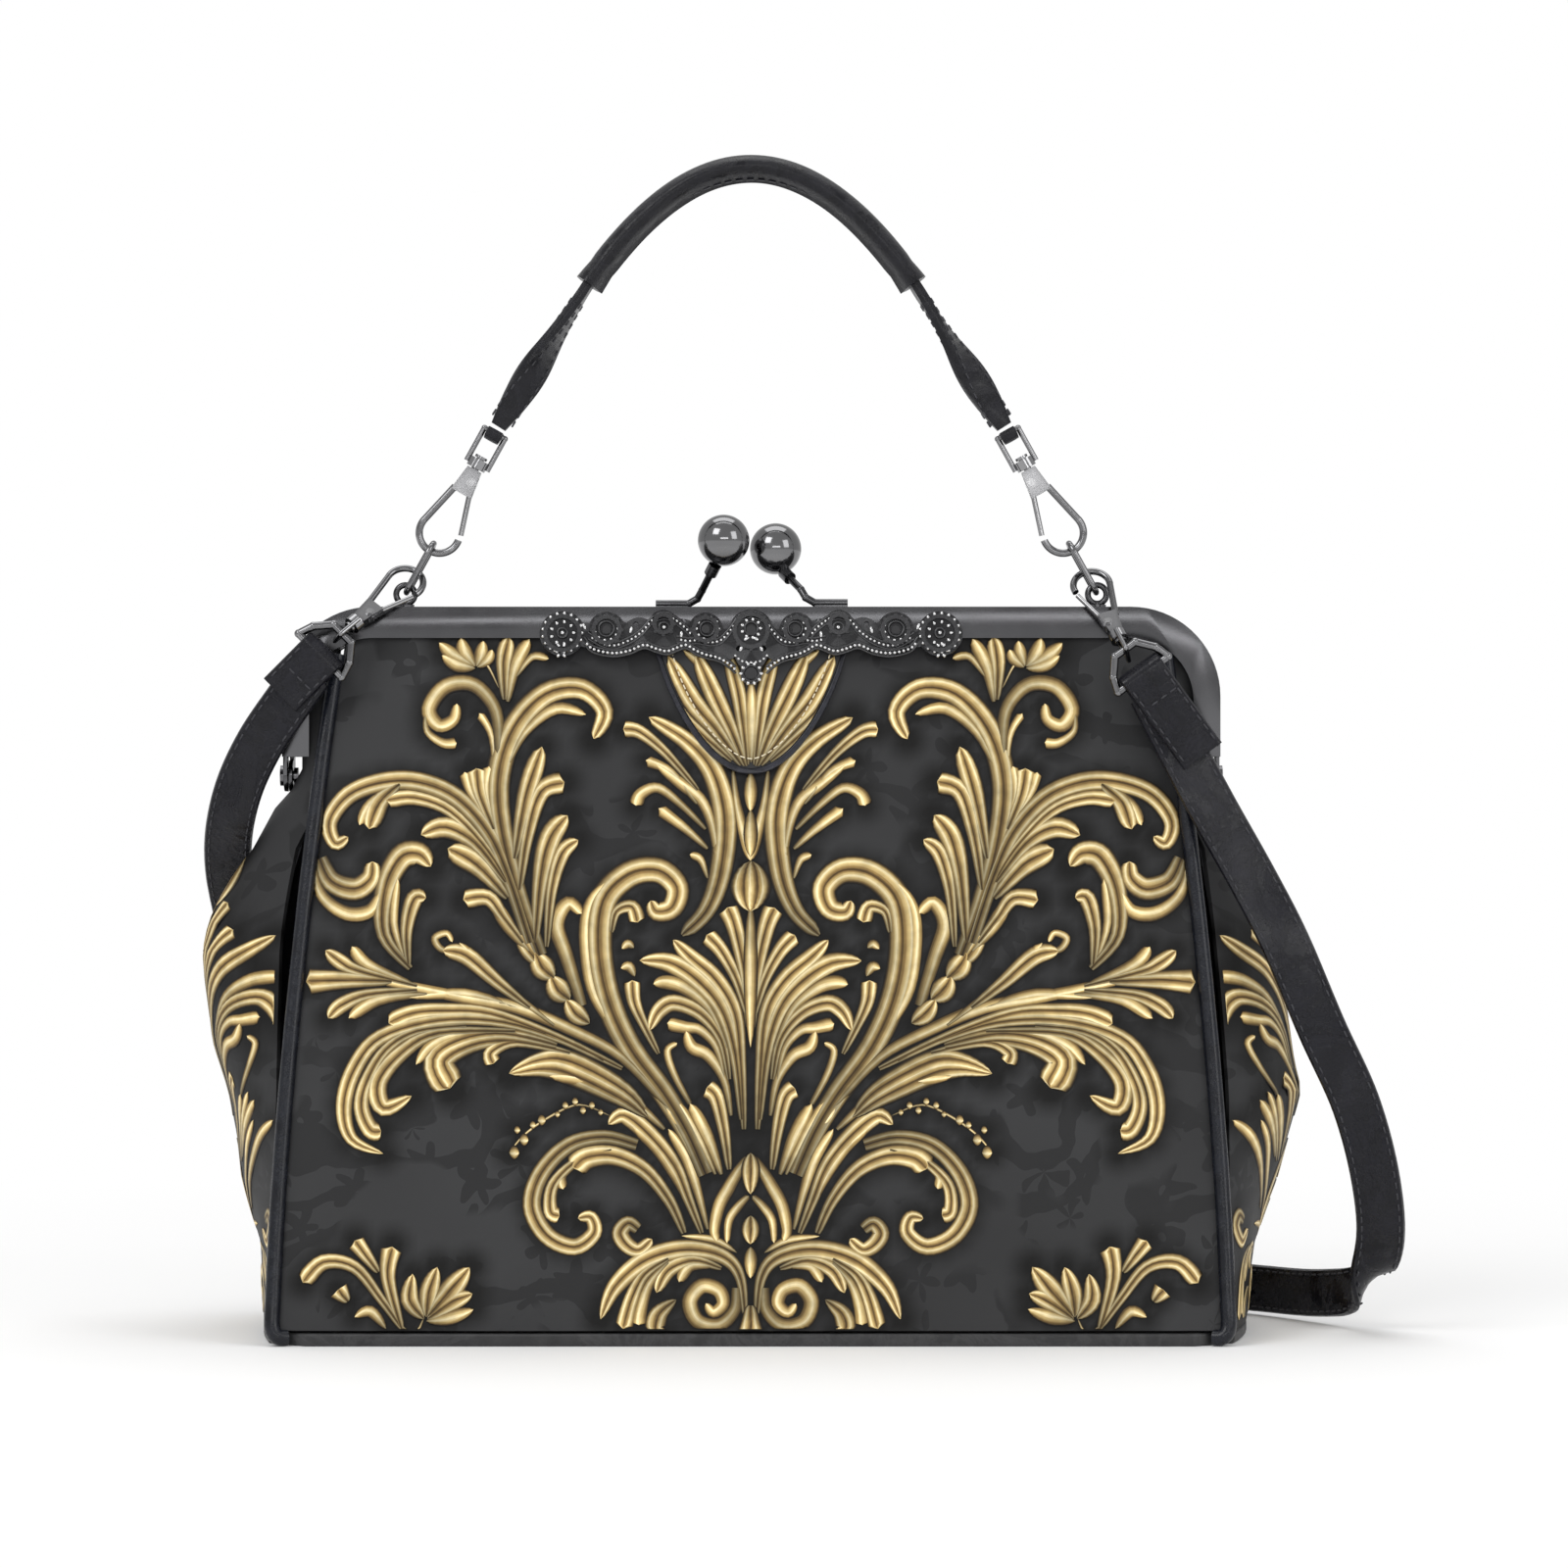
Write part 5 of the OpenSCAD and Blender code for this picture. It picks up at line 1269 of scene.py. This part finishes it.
def rolledGrip():
    rings, around = 56, 28
    verts, uvs = [], []
    reach = handle["gripHalf"] + 0.0012
    for i in range(rings + 1):
        x = reach * (2 * i / rings - 1)
        slope = -2 * (handle["gripTop"] - handle["gripEnd"]) / handle["gripHalf"] ** 2 * x
        along = Vector((1, 0, slope)).normalized()
        up = Vector((-along.z, 0, along.x))
        fromEnd = 1 - abs(x) / reach
        lip = (1 + 0.10 * math.exp(-(fromEnd / 0.035) ** 2)
               - 0.05 * math.exp(-((fromEnd - 0.07) / 0.02) ** 2))
        for k in range(around):
            a = 2 * math.pi * k / around
            swell = 1 + 0.02 * noise.noise(Vector((x * 60, math.cos(a), math.sin(a))))
            flange = 0.0011 * math.exp(-((a - 1.5 * math.pi) / 0.16) ** 2)
            high = handle["gripThick"] / 2 * math.sin(a) * lip * swell - flange
            deep = handle["gripDeep"] / 2 * math.cos(a) * lip * swell
            verts.append(gripPoint(x) + high * up + Vector((0, deep, 0)))
            uvs.append((x, a))
    piece = outwards(pieceFrom("rolled_grip_leather", verts, ringFaces(rings + 1, around), uvs))
    finished(piece, handleLeather, "handle", ["handle_grip"], 55)
    under = Vector((0, 0, -handle["gripThick"] / 2 - 0.0004))
    seam = [gripPoint(x * mm) + under for x in range(-44, 45, 2)]
    rows = [stitchRow(seam, [Vector((0, 1, 0))] * len(seam), offset, 0.0001) for offset in (0.0016, -0.0016)]
    stitchPiece("rolled_grip_stitches", rows, "handle", blackThread)


rolledGrip()

print("stage: camera and light")
cameraData = bpy.data.cameras.new("camera")
cameraData.lens = view["lens"]
cameraData.sensor_width = view["sensor"]
camera = bpy.data.objects.new("camera", cameraData)
camera.location = view["place"]
camera.rotation_euler = (math.radians(90), 0, 0)
bpy.context.scene.collection.objects.link(camera)
bpy.context.scene.camera = camera

# The floor turns to plain white from fadeStart of the way to fadeEnd, in metres from the bag
stage = dict(floorSize=14, floorTone=(0.93, 0.93, 0.93), fadeStart=0.45, fadeEnd=0.62, worldLight=0.62)


def floorPiece():
    bpy.ops.mesh.primitive_plane_add(size=stage["floorSize"], location=(0, 2, 0))
    floor = bpy.context.object
    floor.name = "floor"
    material, tree, shader = newMaterial("white floor")
    where = places(tree)
    away = node(tree, "VectorMath", {0: where, 1: (0, -2, 0)}, operation="DISTANCE").outputs["Value"]
    plain = ramp(tree, calc(tree, "DIVIDE", away, stage["fadeEnd"]),
                 [(stage["fadeStart"], 0.0), (1.0, 1.0)], "EASE")
    grain = node(tree, "TexNoise", {"Vector": where, "Scale": 3.0}).outputs[0]
    tone = mixed(tree, grain, stage["floorTone"], tuple(min(1, c + 0.02) for c in stage["floorTone"]))
    tree.links.new(tone, shader.inputs["Base Color"])
    shader.inputs["Roughness"].default_value = 0.8
    shader.inputs["Specular IOR Level"].default_value = 0.1
    white = node(tree, "Emission", {"Color": (1, 1, 1, 1), "Strength": 1.0})
    blend = node(tree, "MixShader", {0: plain, 1: shader.outputs[0], 2: white.outputs[0]})
    output = [n for n in tree.nodes if n.type == "OUTPUT_MATERIAL"][0]
    tree.links.new(blend.outputs[0], output.inputs["Surface"])
    floor.data.materials.append(material)


floorPiece()


def areaLight(name, place, aim, size, power):
    data = bpy.data.lights.new(name, "AREA")
    data.shape = "RECTANGLE"
    data.size, data.size_y = size
    data.energy = power
    lamp = bpy.data.objects.new(name, data)
    lamp.location = place
    lamp.rotation_euler = (Vector(aim) - Vector(place)).to_track_quat("-Z", "Y").to_euler()
    bpy.context.scene.collection.objects.link(lamp)


areaLight("soft key", (-0.9, -1.1, 1.3), (0, 0, 0.12), (0.8, 0.8), 9)
areaLight("soft fill", (1.2, -1.0, 0.8), (0, 0, 0.12), (0.7, 0.9), 5)
areaLight("top light", (0.0, 0.3, 1.6), (0, 0, 0.1), (1.4, 1.0), 9)
areaLight("front strip", (0.1, -1.6, 0.45), (0, 0, 0.15), (1.0, 0.12), 2)

world = bpy.data.worlds.new("studio")
bpy.context.scene.world = world
world.use_nodes = True
worldTree = world.node_tree
worldTree.nodes.clear()
rays = node(worldTree, "LightPath")
seen = calc(worldTree, "MAXIMUM", rays.outputs["Is Camera Ray"], rays.outputs["Is Transmission Ray"])
glow = calc(worldTree, "MAXIMUM", seen, stage["worldLight"])
background = node(worldTree, "Background", {"Color": (1, 1, 1, 1), "Strength": glow})
node(worldTree, "OutputWorld", {"Surface": background.outputs[0]})

bpy.context.scene.view_settings.view_transform = "Standard"
